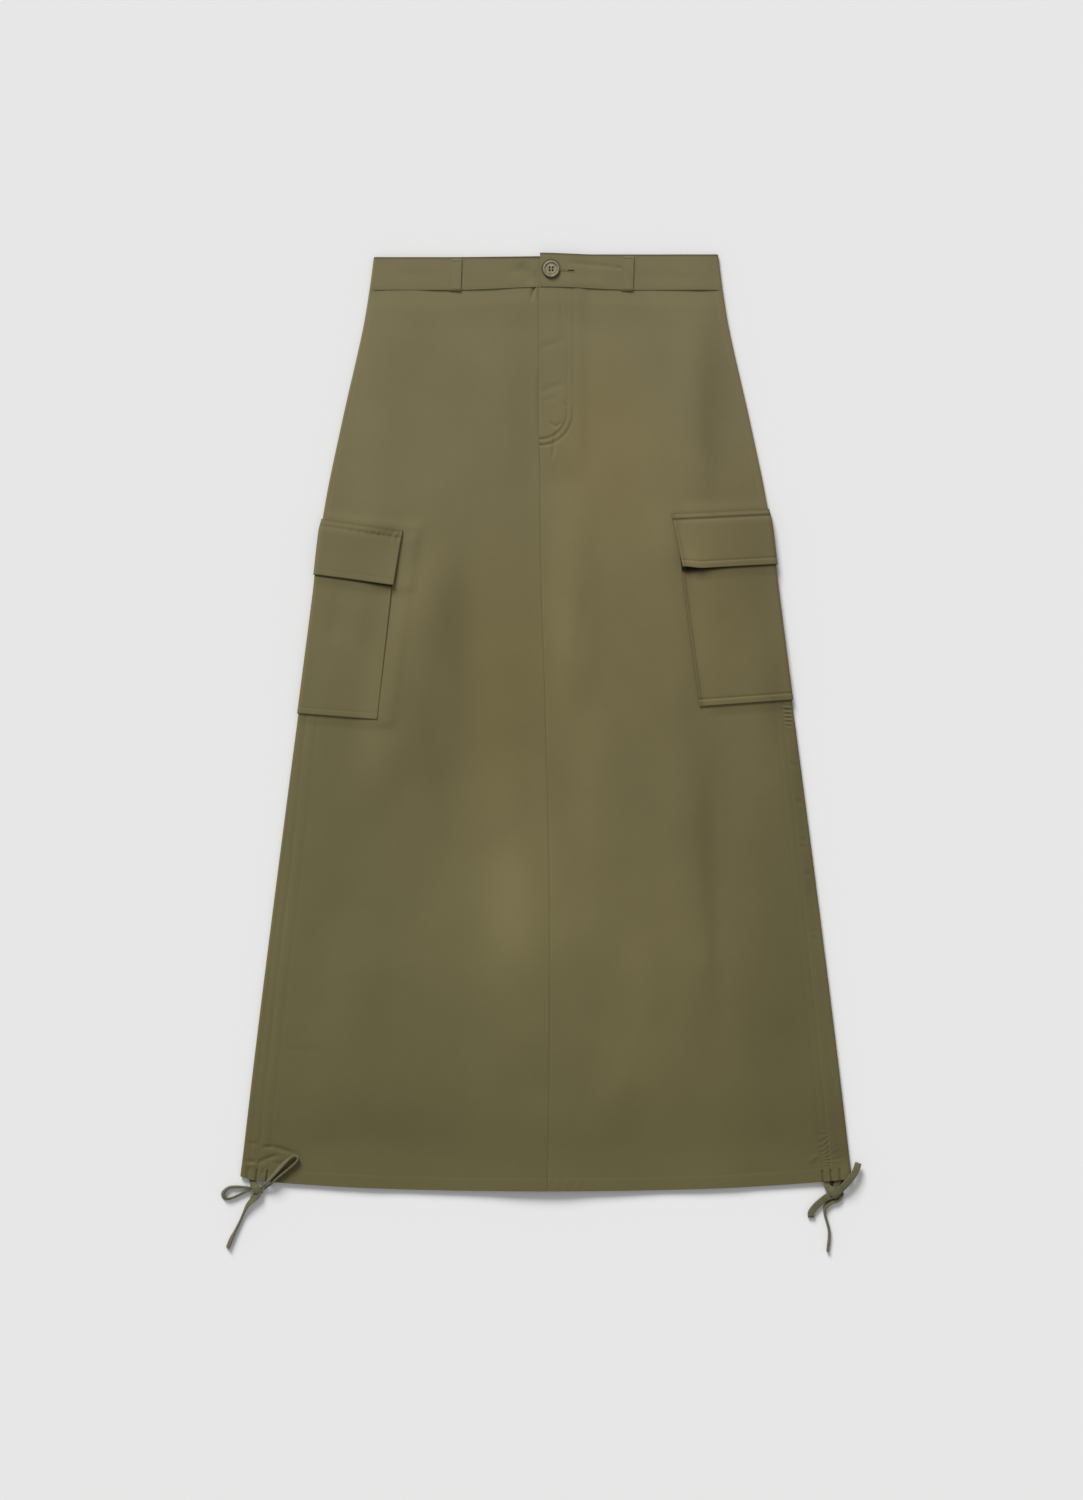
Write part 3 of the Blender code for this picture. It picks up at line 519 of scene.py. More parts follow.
POCKET_GATHERS_REACH = 0.0042
POCKET_GATHERS_WAVES = (0.0043, 0.7, 0.0041)
POCKET_GATHERS_SLANT = 0.15


def gathers(side, from_seam, drop):
    """Ripples where the casings draw the cloth in: under the left pocket and near the hem."""
    slant = HEM_GATHERS_SLANT * from_seam
    slant = slant + HEM_GATHERS_SHIFT * np.sin(from_seam / HEM_GATHERS_SHIFT_TURNS)
    slant = slant * np.sin(drop / HEM_GATHERS_SLANT_TURNS)
    by_hem = HEM_GATHERS[side] * between(SIDE_LENGTH - drop, *HEM_GATHERS_SPAN)
    by_hem = by_hem * bell(from_seam - HEM_GATHERS_AT, HEM_GATHERS_REACH)
    by_hem = by_hem * ripple(drop + slant, drop, *HEM_GATHERS_WAVES)
    by_pocket = POCKET_GATHERS[side] * between(drop - side.pocket_bottom, *POCKET_GATHERS_SPAN)
    by_pocket = by_pocket * bell(from_seam - POCKET_GATHERS_AT, POCKET_GATHERS_REACH)
    by_pocket = by_pocket * ripple(drop + POCKET_GATHERS_SLANT * from_seam, drop, *POCKET_GATHERS_WAVES)
    return by_hem + by_pocket


# Lighter along the side seam: partly wear, partly painted light against the shade in the seam's groove.
SEAM_WEAR_AND_LIGHT = 0.22
SEAM_WEAR_AND_LIGHT_REACH = 0.0004
SEAM_ROLL = 0.00016
SEAM_ROLL_REACH = 0.0011
CENTRE_ROLL = 1.8
# The side seam is pressed flatter from the waist down to these drops, and on the right
# down to the foot of the pocket.
PRESSED_FLAT = 0.8
PRESSED_UNTIL = {RIGHT: None, LEFT: (0.10, 0.16)}
POCKET_CLEARANCE = 0.004
SEAM_CREASES_AT = -0.004
SEAM_CREASES_REACH = 0.0070
WAIST_STEP = 0.0009
WAIST_STEP_REACH = 0.018
WAIST_STEP_OFF_FOLD = 0.010
CLEAR_OF_FOLD = (0.004, 0.030)
LAP_OVER = 0.0010
LAP_OVER_SPAN = (FLY_END - 0.010, FLY_END + 0.020)
STITCH_DIP = 0.00010
STITCH_REACH = 0.0011
HEM_RISE = 0.00015
HEM_STEP = 0.001
HEM_LIFT = 0.0014
HEM_LIFT_REACH = 0.050
HEM_LIFT_GIRTHS = (0.040, 0.090)
HEM_ROPING = 0.00012
HEM_ROPING_WAVES = (0.0105, 1.3, 0.017)
HEM_ROPING_SLANT = 0.5
MOUTH_DEPTH = 0.0017
MOUTH_REACH = 0.0009
MOUTH_START = 0.0125
MOUTH_SLOPE = 0.003
CHANNEL_RISE = 0.00018
BACK_LINE = 0.0088


def seam_out(side, girth, drop):
    """Form that fronts and back share at the side seam, casing, hem and waist seam."""
    from_seam = girth - side_seam(side, drop)
    from_hem = SIDE_LENGTH - drop
    bottom = side.pocket_bottom
    below_pocket = blend(drop, bottom - POCKET_CLEARANCE, bottom + POCKET_CLEARANCE)
    pressed = 1 - (blend(drop, *PRESSED_UNTIL[side]) if PRESSED_UNTIL[side] else below_pocket)
    out = -SEAM_ROLL * (1 - PRESSED_FLAT * pressed) * bell(from_seam, SEAM_ROLL_REACH)
    puckers = crease_height(SEAM_CREASES, *place_of(side, girth, drop))
    out = out + puckers * bell(from_seam - SEAM_CREASES_AT, SEAM_CREASES_REACH)
    for line in (side.casing_line, -BACK_LINE):
        reach = from_seam / line
        channel = np.where((reach > 0) & (reach < 1), np.sin(math.pi * np.clip(reach, 0, 1)) ** 2, 0.0)
        out = out + CHANNEL_RISE * channel * below_pocket * (girth > 0)
        out = out - STITCH_DIP * bell(from_seam - line, STITCH_REACH) * below_pocket
    for line in (side.casing_line, 0.0, -BACK_LINE):
        mouth = bell(from_seam - line, MOUTH_REACH) * blend(MOUTH_START - from_hem, 0.0, MOUTH_SLOPE)
        out = out - MOUTH_DEPTH * mouth
    out = out - STITCH_DIP * bell(from_hem - HEM_DEPTH, STITCH_REACH)
    below_waist = 1 - blend(drop - BAND_DROP, 0.0, WAIST_STEP_REACH)
    out = out - WAIST_STEP * below_waist * blend(girth, 0.0, WAIST_STEP_OFF_FOLD)
    return out + gathers(side, from_seam, drop) * (girth > 0)


# The fly's two rows of stitches: straight down, then round to the centre seam. They draw
# the cloth in most where they turn.
FLY_ROWS = table("width turn_drop depth", (0.0265, 0.1600, 0.0258), (0.0325, 0.1600, 0.0319))
FLY_ROW_DIP = 0.0009
FLY_ROW_REACH = 0.0011
# Painted shade in the grooves where the fly's rows draw the cloth in.
FLY_ROW_SHADE = 0.22
FLY_ROW_SHADE_REACH = 0.0010
FLY_ROW_SHOWN = 0.15
FLY_ROW_TURNS = (0.146, 0.176)
# Below the fly the fronts are sewn together; beside it the right one is only turned in.
BELOW_FLY = (FLY_END - 0.006, FLY_END + 0.004)
CENTRE_ROLL_BY_FLY = {RIGHT: 0.4, LEFT: 0.0}


def fly_row_shown(row, from_centre, drop, reach):
    """How much a row of the fly's stitches shows at a place near it."""
    below = np.maximum(drop - row.turn_drop, 0.0)
    off_row = (np.hypot(from_centre / row.width, below / row.depth) - 1) * row.width
    return bell(off_row, reach) * (FLY_ROW_SHOWN + (1 - FLY_ROW_SHOWN) * blend(drop, *FLY_ROW_TURNS))


def front_out(side, girth, drop):
    """How far a front stands out of its smooth form at a place."""
    x, y = place_of(side, girth, drop)
    from_hem = SIDE_LENGTH - drop
    from_centre = centre_girth(side, drop) - girth
    out = (unevenness(x, y) + crease_height(FRONT_CREASES, x, y)) * blend(girth, *CLEAR_OF_FOLD)
    out = out + seam_out(side, girth, drop)
    out = out + HEM_RISE * (1 - blend(from_hem, HEM_DEPTH - HEM_STEP, HEM_DEPTH))
    out = out + HEM_LIFT * (1 - blend(from_hem, 0.0, HEM_LIFT_REACH)) * blend(girth, *HEM_LIFT_GIRTHS)
    roping = ripple(girth + HEM_ROPING_SLANT * from_hem, girth, *HEM_ROPING_WAVES)
    roping = roping * np.sin(math.pi * np.clip(from_hem / HEM_DEPTH, 0.0, 1.0))
    out = out + HEM_ROPING * roping * (from_hem < HEM_DEPTH)
    by_fly = CENTRE_ROLL_BY_FLY[side]
    rolled = by_fly + (1 - by_fly) * blend(drop, *BELOW_FLY)
    out = out - CENTRE_ROLL * SEAM_ROLL * bell(from_centre, SEAM_ROLL_REACH) * rolled
    if side is LEFT:
        for row in FLY_ROWS:
            out = out - FLY_ROW_DIP * fly_row_shown(row, from_centre, drop, FLY_ROW_REACH)
    return out


def front_surface(side, girth, drop):
    """Places on the outside of a front."""
    lift = fly_lift(girth, drop) if side is LEFT else 0.0
    return ring_points(side, girth, drop, out=front_out(side, girth, drop), lift=lift)


# Painted shade over the cloth: darker towards the hem, where less light falls, with darker
# and lighter patches, and here and there turned from a cool olive to a warmer one.
PAINTED_SHADE_BY_DROP = table(
    "drop tone",
    (0.000, 0.98), (0.040, 1.01), (0.060, 1.04), (0.120, 0.98), (0.190, 0.97), (0.260, 0.94), (0.330, 0.89),
    (0.400, 0.86), (0.540, 0.82), (0.680, 0.81), (0.750, 0.75), (0.820, 0.72), (0.880, 0.66), (0.925, 0.69),
)
PATCH_COLUMNS = "x y reach_x reach_y change"
# Patches of painted shade and painted light, where the soft folds are shaded or lit.
PAINTED_LIGHT_AND_SHADE_PATCHES = table(
    PATCH_COLUMNS,
    (-0.090, 0.070, 0.017, 0.085, -0.17),
    (-0.110, -0.040, 0.020, 0.070, -0.13),
    (-0.130, 0.110, 0.022, 0.080, 0.09),
    (-0.025, 0.300, 0.018, 0.130, -0.07),
    (0.170, 0.330, 0.018, 0.110, -0.15),
    (0.205, 0.160, 0.035, 0.090, -0.18),
    (-0.185, 0.175, 0.045, 0.024, -0.08),
    (0.230, 0.020, 0.016, 0.050, -0.16),
    (-0.030, -0.180, 0.045, 0.090, 0.28),
    (0.240, -0.230, 0.050, 0.200, -0.20),
    (-0.180, 0.300, 0.022, 0.120, 0.08),
    (-0.180, 0.040, 0.018, 0.050, 0.08),
    (0.100, -0.320, 0.025, 0.090, 0.09),
    (0.060, 0.250, 0.060, 0.100, 0.09),
    (-0.150, -0.400, 0.100, 0.035, -0.08),
    (0.015, 0.100, 0.020, 0.070, 0.13),
    (0.042, -0.060, 0.020, 0.120, 0.10),
    (-0.200, -0.150, 0.060, 0.100, -0.08),
    (0.155, -0.090, 0.025, 0.080, -0.14),
    (0.252, -0.060, 0.011, 0.060, -0.15),
    (0.265, -0.150, 0.010, 0.040, -0.10),
    (0.290, -0.400, 0.035, 0.040, -0.11),
    (0.292, -0.429, 0.010, 0.007, -0.10),
    (0.297, -0.447, 0.008, 0.008, 0.14),
    (-0.160, 0.190, 0.018, 0.007, -0.22),
    (0.075, 0.448, 0.030, 0.012, -0.07),
)
WARMTH = 0.20
WARM_PATCHES = table(
    PATCH_COLUMNS,
    (-0.050, 0.040, 0.110, 0.160, 0.60),
    (0.180, 0.150, 0.110, 0.200, 0.60),
    (0.120, -0.250, 0.180, 0.200, 0.25),
    (0.055, 0.285, 0.050, 0.090, 0.55),
)
BLUE_PATCHES = table(PATCH_COLUMNS, (0.190, 0.260, 0.110, 0.160, 0.07))
BLUE_AT_TOP = 1.08
BLUE_LOST_PER_METRE = 0.18


def patched(patches, x, y):
    """Sum of soft patches at a place."""
    total = np.zeros(np.shape(x))
    for patch in patches:
        total = total + patch.change * bell(x - patch.x, patch.reach_x) * bell(y - patch.y, patch.reach_y)
    return total


def painted_shade_and_hue(x, y):
    """The painted shade at a place, 1 where there is none, how warm the cloth is, and how blue."""
    drop = TOP_Y - y
    tone = read(PAINTED_SHADE_BY_DROP, "tone", drop) * (1 + patched(PAINTED_LIGHT_AND_SHADE_PATCHES, x, y))
    warmth = WARMTH + patched(WARM_PATCHES, x, y)
    blue = BLUE_AT_TOP - BLUE_LOST_PER_METRE * drop + patched(BLUE_PATCHES, x, y)
    return np.stack([tone, warmth, blue], axis=-1)


def colour_of(red, green, blue):
    """Linear colour of a swatch given by its display values, 0 to 255."""
    shares = [value / 255 for value in (red, green, blue)]
    return (*[((share + 0.055) / 1.055) ** 2.4 for share in shares], 1.0)


def mixed(tree, share, first, second):
    """The colour between two."""
    return add_node(tree, "Mix", {0: share, 6: first, 7: second}, output=2, data_type="RGBA")


def written(tree, name):
    """What is written on the cloth under a name, at each of its points."""
    return add_node(tree, "Attribute", output="Vector", attribute_name=name)


def ribs(tree, place, across, along, pitch):
    """Straight ribs of a pitch over the cut cloth, from -1 to 1."""
    way = (across * 2 * math.pi / pitch, along * 2 * math.pi / pitch, 0.0)
    return maths(tree, "SINE", add_node(tree, "VectorMath", [place, way], "Value", operation="DOT_PRODUCT"))


def streaks(tree, place, across, along):
    """Uneven yarns: noise that is drawn out along them."""
    stretched = add_node(tree, "VectorMath", [place, (across, along, 1.0)], operation="MULTIPLY")
    return add_node(tree, "TexNoise", {"Vector": stretched, "Scale": 1.0, "Detail": 2.0})


TWILL_PITCH = 0.0007
YARN_PITCH = 0.00035
WEAVE_DEPTH = 0.00010
YARN_RANGE = (0.6, 1.4)
COOL_OLIVE = colour_of(115, 109, 77)
WARM_OLIVE = colour_of(119, 108, 71)
NAP_TINT = colour_of(170, 162, 128)


def cotton_finish():
    """Washed cotton twill: diagonal ribs, uneven yarns, clouded dye with painted shade, and a short nap."""
    material, tree, shader = new_finish("olive cotton")
    cut = written(tree, "cut")
    tone, warmth, blue = add_node(tree, "SeparateXYZ", [written(tree, "shade_and_hue")]).node.outputs
    left_blue = add_node(tree, "CombineXYZ", [1.0, 1.0, blue])
    olive = mixed(tree, warmth, COOL_OLIVE, WARM_OLIVE)
    hue = add_node(tree, "VectorMath", [olive, left_blue], operation="MULTIPLY")
    cloud = add_node(tree, "TexNoise", {"Vector": cut, "Scale": 16.0, "Detail": 4.0, "Roughness": 0.55})
    yarns = maths(tree, "ADD", streaks(tree, cut, 2600.0, 90.0), streaks(tree, cut, 90.0, 2600.0))
    shade = ranged(tree, yarns, *YARN_RANGE, 0.95, 1.05)
    clouded = maths(tree, "MULTIPLY", shade, ranged(tree, cloud, 0.3, 0.7, 0.97, 1.03))
    tone_with_painted_shade = maths(tree, "MULTIPLY", clouded, tone)
    weave = maths(tree, "MULTIPLY_ADD", ribs(tree, cut, 0.80, 0.60, TWILL_PITCH), 0.5, yarns)
    height = maths(tree, "MULTIPLY_ADD", ribs(tree, cut, 0.0, 1.0, YARN_PITCH), 0.18, weave)
    connect(tree, shader, {
        "Base Color": add_node(tree, "VectorMath", {0: hue, "Scale": tone_with_painted_shade}, operation="SCALE"),
        "Normal": add_node(tree, "Bump", {"Strength": 0.45, "Distance": WEAVE_DEPTH, "Height": height}),
        "Roughness": ranged(tree, yarns, *YARN_RANGE, 0.83, 0.93),
        "Specular IOR Level": 0.16,
        "Sheen Weight": 0.06,
        "Sheen Roughness": 0.45,
        "Sheen Tint": NAP_TINT,
    })
    return material


olive_cotton = cotton_finish()


def write_on(mesh, name, values):
    """Writes a value on each point of a mesh, for its finish to read."""
    mesh.attributes.new(name, "FLOAT_VECTOR", "POINT").data.foreach_set("vector", values.ravel())


def new_piece(name, points, faces, finish):
    """A smooth mesh in the scene, with its finish."""
    mesh = bpy.data.meshes.new(name)
    mesh.from_pydata(points.tolist(), [], faces)
    mesh.shade_smooth()
    mesh.materials.append(finish)
    return put_in_scene(name, mesh)


def cloth_piece(name, points, cut, shade, thickness, edge, segments=2):
    """Cloth through a grid of points, with its places on the cut, its shade and soft edges."""
    rows, columns = points.shape[:2]
    corner = np.arange(rows * columns).reshape(rows, columns)
    quads = np.stack([corner[:-1, :-1], corner[1:, :-1], corner[1:, 1:], corner[:-1, 1:]], axis=-1)
    piece = new_piece(name, points.reshape(-1, 3), quads.reshape(-1, 4).tolist(), olive_cotton)
    write_on(piece.data, "cut", np.stack([*cut, 0 * cut[0]], axis=-1))
    # The cloth's painted shade and hue, times the piece's own shade and wear.
    shade_and_hue = painted_shade_and_hue(points[..., 0], points[..., 1])
    shade_and_hue[..., 0] *= shade
    write_on(piece.data, "shade_and_hue", shade_and_hue)
    solid = piece.modifiers.new("Thickness", "SOLIDIFY")
    solid.thickness = thickness
    solid.offset = -1.0
    solid.use_even_offset = True
    soft = piece.modifiers.new("Edge", "BEVEL")
    soft.width = edge
    soft.segments = segments
    soft.limit_method = "ANGLE"
    soft.angle_limit = EDGE_ANGLE
    return piece


def belongs(piece, slot, *nodes):
    """Makes a piece part of the skirt, in place of the plain solids it stands for."""
    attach(piece, "root")
    if nodes:
        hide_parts(*nodes)


def graded(*stops):
    """Places along a line: from each stop to the next at about the stop's own spacing."""
    places = [stops[0][0]]
    for (start, spacing), (end, _) in zip(stops, stops[1:]):
        count = max(1, round((end - start) / spacing))
        places += [start + (end - start) * index / count for index in range(1, count + 1)]
    return np.array(places)


def on_both(drops, girths):
    """Rows of girths and drops as two grids of one size."""
    return np.broadcast_arrays(girths, drops[:, None])


FRONT_DROPS = graded(
    (BAND_DROP + HALF_SEAM, 0.0008), (0.041, 0.0024), (0.150, 0.0012), (0.204, 0.0032), (0.440, 0.0015),
    (0.486, 0.0034), (0.862, 0.0011), (SIDE_LENGTH - 0.001, 0.0005), (SIDE_LENGTH, 0.0),
)
MIDDLE_COLUMNS = 60


def front_girths(side, drops):
    """Columns of a front at each row, from its side seam to the centre seam."""
    seam = side_seam(side, drops)[:, None]
    centre = centre_girth(side, drops)[:, None] - HALF_SEAM
    if side is LEFT:
        centre = centre + LAP_OVER * (1 - blend(drops, *LAP_OVER_SPAN))[:, None]
    line = side.casing_line
    outer = seam + HALF_SEAM + graded(
        (0.0, 0.0006), (0.0024, 0.0012), (line - 0.0012, 0.0006), (line + 0.0012, 0.0013), (0.018, 0.0),
    )
    inner = centre - graded((0.0, 0.0006), (0.0024, 0.0012), (0.0348, 0.0022), (0.044, 0.0))[::-1]
    share = np.linspace(0.0, 1.0, MIDDLE_COLUMNS)[1:-1]
    middle = outer[:, -1:] + (inner[:, :1] - outer[:, -1:]) * share
    return np.concatenate([outer, middle, inner], axis=1)


def seam_wear_and_light(side, girth, drop):
    """How much lighter the cloth is along the side seam: partly wear, partly painted light against the shade
    of the seam's groove.
    """
    return 1 + SEAM_WEAR_AND_LIGHT * bell(girth - side_seam(side, drop), SEAM_WEAR_AND_LIGHT_REACH)


def make_front(side):
    girth, drop = on_both(FRONT_DROPS, front_girths(side, FRONT_DROPS))
    if side is LEFT:
        girth = girth[:, ::-1]
    points = front_surface(side, girth, drop)
    shade = seam_wear_and_light(side, girth, drop)
    if side is LEFT:
        from_centre = centre_girth(LEFT, drop) - girth
        for row in FLY_ROWS:
            shade *= 1 - FLY_ROW_SHADE * fly_row_shown(row, from_centre, drop, FLY_ROW_SHADE_REACH)
    node = "front_" + side.name
    piece = cloth_piece(node + "_cloth", points, (side.sign * girth, drop), shade,
                        PANEL_THICKNESS, PANEL_EDGE)
    belongs(piece, "cloth", node)
    hem_width = float(centre_girth(side, SIDE_LENGTH) - side_seam(side, SIDE_LENGTH))


for side in SIDES:
    make_front(side)

# ------------------------------------------------------------ the back
# One panel of the same cotton. It lies flat on the table and comes round both folds
# to the side seams, so that a strip of it shows beside each front.

BACK_CREASES = table(
    CREASE_COLUMNS,
    (-120, 380, -150, 40, -0.5, 9),
    (90, 350, 130, 20, -0.45, 8),
    (20, 300, 35, -60, -0.4, 10),
    (-60, 60, -90, -330, -0.6, 11),
    (150, -60, 190, -380, -0.6, 10),
    (60, -180, 40, -420, -0.45, 9),
    (-200, -160, -230, -400, -0.5, 9),
)
BACK_DROPS = graded(
    (BAND_DROP + HALF_SEAM, 0.0008), (0.041, 0.0060), (0.440, 0.0020), (0.448, 0.0008), (0.476, 0.0020),
    (0.700, 0.0040), (0.862, 0.0014), (SIDE_LENGTH - 0.001, 0.0005), (SIDE_LENGTH, 0.0),
)
BACK_CUT_ACROSS = 1.0
BACK_WAVES_APART = 0.4
BACK_WAVES_SUNK = 0.0002
BACK_GATHERS_SHARE = 0.5
BACK_SHOWS = 0.0066
BACK_SHOWS_AT = 0.2895
BACK_SHOWS_REACH = 0.0105 / math.sqrt(2)
BACK_SHOWS_RISE = 0.050
BACK_SHOWS_OFF_FOLD = 0.007
# Painted shade on the back where it hangs out below the front's hem.
BACK_SHADE = 0.75


def back_out(side, girth, drop):
    """How far the back stands out: creases only dent it where it lies on the table."""
    x, y = place_of(side, girth, drop)
    waves = np.minimum(unevenness(x + BACK_WAVES_APART, y) - BACK_WAVES_SUNK, 0.0)
    waves = (waves + crease_height(BACK_CREASES, x, y)) * blend(-girth, *CLEAR_OF_FOLD)
    rolled = seam_out(side, girth, drop)
    gathered = np.abs(gathers(side, girth - side_seam(side, drop), drop))
    return waves + np.where(girth > 0, rolled, np.minimum(rolled, 0.0) - gathered * BACK_GATHERS_SHARE)


def below_front(side, girth, drop):
    """How far the back hangs out below the front, where the left casing draws the front up."""
    near = bell(flat_x(side, girth, drop) - BACK_SHOWS_AT, BACK_SHOWS_REACH)
    near = near * blend(-girth, ARC_END, BACK_SHOWS_OFF_FOLD)
    return BACK_SHOWS * near * (1 - blend(SIDE_LENGTH - drop, 0.0, BACK_SHOWS_RISE))


def back_surface(side, girth, drop):
    """Places on the outside of the back."""
    points = ring_points(side, girth, drop, out=back_out(side, girth, drop))
    points[..., 1] -= below_front(side, girth, drop)
    return points


def back_girths(side, drops):
    """Columns of the back at each row, from a side seam round the fold to the middle."""
    seam = side_seam(side, drops)[:, None] - HALF_SEAM
    front = seam + (ARC_END - seam) * np.linspace(0.0, 1.0, 11)[:-1]
    arc = np.linspace(ARC_END, -ARC_END, 15) + 0 * seam
    near = -ARC_END - graded((0.0015, 0.0018), (0.018, 0.0052), (0.095, 0.0)) + 0 * seam
    last = near[:, -1:]
    far = last - (middle_girth(drops)[:, None] + last) * np.linspace(0.0, 1.0, 17)[1:]
    return np.concatenate([front, arc, near, far], axis=1)


def back_half(side):
    """Points, cut across and along, and shade of the back from a side seam to its middle."""
    girth, drop = on_both(BACK_DROPS, back_girths(side, BACK_DROPS))
    shaded = 1 - BACK_SHADE * below_front(side, girth, drop) / BACK_SHOWS
    return [back_surface(side, girth, drop), side.sign * (girth + BACK_CUT_ACROSS), drop,
            seam_wear_and_light(side, girth, drop) * shaded]


def both_halves(half, round_place):
    """The two halves of a piece as one, joined in the middle of the back.

    A half gives a list: its points, where they lie on the cut, and more. One item of it,
    named by its place in the list, tells how far round the skirt each point is cut.
    """
    right, left = (half(side) for side in SIDES)
    left[0][:, -1] = (left[0][:, -1] + right[0][:, -1]) / 2
    left[round_place] = left[round_place] + right[round_place][0, -1] - left[round_place][0, -1]
    return [np.concatenate([on_left, on_right[:, -2::-1]], axis=1) for on_left, on_right in zip(left, right)]


points, across, along, shade = both_halves(back_half, 1)
back = cloth_piece("back_cloth", points, (across, along), shade, PANEL_THICKNESS, PANEL_EDGE)
belongs(back, "cloth", "back_panel")
hem_width = 2 * float(half_width(SIDE_LENGTH) + side_seam(LEFT, SIDE_LENGTH))

# ------------------------------------------------------------ the fly
# A strip of cotton shields the zip: it carries on from the right front, under the lap
# of the left front. The zip lies between them and doesn't show.

SHIELD_THICKNESS = 0.0010
SHIELD_EDGE = 0.0003

drops = graded((BAND_DROP + HALF_SEAM, 0.004), (FLY_END, 0.0))
columns = centre_girth(LEFT, drops)[:, None] - HALF_SEAM - np.linspace(0.0, FLY_WIDTH, 14)
girth, drop = on_both(drops, columns)
shield = cloth_piece("fly_shield_cloth", ring_points(LEFT, girth, drop), (girth, drop), 1.0,
                     SHIELD_THICKNESS, SHIELD_EDGE)
belongs(shield, "cloth", "fly_shield")

# Lockstitch in olive thread, a little over three stitches to the centimetre: each one
# dips into the cloth at both ends and stands just proud in its middle.
STITCH_PITCH = 0.0030
STITCH_LENGTH = 0.00245
THREAD_RADIUS = 0.00016
THREAD_OLIVE = colour_of(118, 111, 79)[:3]
STITCH_PROFILE = table(
    "share height width",
    (-0.50, -0.00014, 0.6), (-0.40, -0.00004, 1.0), (0.0, 0.00001, 1.0), (0.40, -0.00004, 1.0),
    (0.50, -0.00014, 0.6),
)
THREAD_SIDES = 5
SMALL_STEP = 0.0005
SMALLEST_STEP = 0.0002
FLY_ROW_BELOW_BAND = 0.003


def thread_finish():
    """Twisted cotton thread, with the painted shade of the cloth under it."""
    material, tree, shader = new_finish("olive thread")
    place = add_node(tree, "TexCoord", output="Object")
    noise = add_node(tree, "TexNoise", {"Vector": place, "Scale": 900.0, "Detail": 2.0})
    tone = add_node(tree, "SeparateXYZ", [written(tree, "shade_and_hue")])
    tone_with_painted_shade = maths(tree, "MULTIPLY", tone, ranged(tree, noise, 0.0, 1.0, 0.90, 1.10))
    connect(tree, shader, {
        "Base Color": add_node(tree, "VectorMath", {0: THREAD_OLIVE, "Scale": tone_with_painted_shade}, operation="SCALE"),
        "Normal": add_node(tree, "Bump", {"Strength": 0.4, "Distance": 0.0001, "Height": noise}),
        "Roughness": 0.80,
        "Specular IOR Level": 0.2,
    })
    return material


olive_thread = thread_finish()


def unit(ways):
    """Ways at a length of one."""
    return ways / (np.linalg.norm(ways, axis=-1, keepdims=True) + 1e-12)


def distance_along(points):
    """Distance of each point from the first, along the line."""
    return np.concatenate([[0.0], np.cumsum(np.linalg.norm(np.diff(points, axis=0), axis=1))])


def line_on(surface, side, girth, drop):
    """Points along a line on a surface, and the ways that face out of the cloth there."""
    girth, drop = np.broadcast_arrays(np.asarray(girth, float), np.asarray(drop, float))
    across = surface(side, girth + SMALL_STEP, drop) - surface(side, girth - SMALL_STEP, drop)
    down = surface(side, girth, drop + SMALL_STEP) - surface(side, girth, drop - SMALL_STEP)
    return surface(side, girth, drop), unit(np.cross(across, down) * side.sign)


def stitches(points, facing, pitch=STITCH_PITCH, length=STITCH_LENGTH, radius=THREAD_RADIUS):
    """Rings of points for a row of stitches along a line."""
    travelled = distance_along(points)
    count = max(1, int(travelled[-1] / pitch))
    middles = (np.arange(count) + 0.5) * travelled[-1] / count
    shares, heights, widths = (np.array(column) for column in zip(*STITCH_PROFILE))
    at = middles[:, None] + shares * length

    def along(values, where):
        return np.stack([np.interp(where, travelled, values[:, axis]) for axis in range(3)], axis=-1)

    ahead = unit(along(points, at + SMALLEST_STEP) - along(points, at - SMALLEST_STEP))
    up = unit(along(facing, at))
    centres = along(points, at) + up * heights[:, None]
    turns = (np.arange(THREAD_SIDES) * 2 * math.pi / THREAD_SIDES)[:, None]
    rim = np.cross(ahead, up)[..., None, :] * np.cos(turns) + up[..., None, :] * np.sin(turns)
    return centres[..., None, :] + rim * (radius * widths)[:, None, None]


def tubes_mesh(name, tubes, finish):
    """One mesh of many closed tubes, each given as rings of points, none below the table."""
    verts, faces = [], []
    for tube in tubes:
        count, rings, sides = tube.shape[:3]
        corner = np.arange(count * rings * sides).reshape(count, rings, sides) + len(verts)
        around = np.roll(corner, -1, axis=2)
        quads = np.stack([corner[:, :-1], around[:, :-1], around[:, 1:], corner[:, 1:]], axis=-1)
        faces += quads.reshape(-1, 4).tolist()
        faces += corner[:, 0, ::-1].tolist() + corner[:, -1].tolist()
        verts += np.maximum(tube.reshape(-1, 3), (-np.inf, -np.inf, 0.0)).tolist()
    verts = np.array(verts)
    piece = new_piece(name, verts, faces, finish)
    write_on(piece.data, "shade_and_hue", painted_shade_and_hue(verts[:, 0], verts[:, 1]))
    return piece


def sew(name, lines, *stitch):
    """Rows of stitches along lines on the cloth, of a pitch, length and thread if given."""
    piece = tubes_mesh(name, [stitches(*line, *stitch) for line in lines], olive_thread)
    belongs(piece, "cloth")


def fly_row_line(row):
    """A row of the fly's stitches: down beside the centre, then round to it."""
    turn = np.linspace(0.0, math.pi / 2, 60)[1:-2]
    across = np.concatenate([np.full(80, row.width), row.width * np.cos(turn)])
    straight = np.linspace(BAND_DROP + FLY_ROW_BELOW_BAND, row.turn_drop, 80)
    drop = np.concatenate([straight, row.turn_drop + row.depth * np.sin(turn)])
    return line_on(front_surface, LEFT, centre_girth(LEFT, drop) - across, drop)


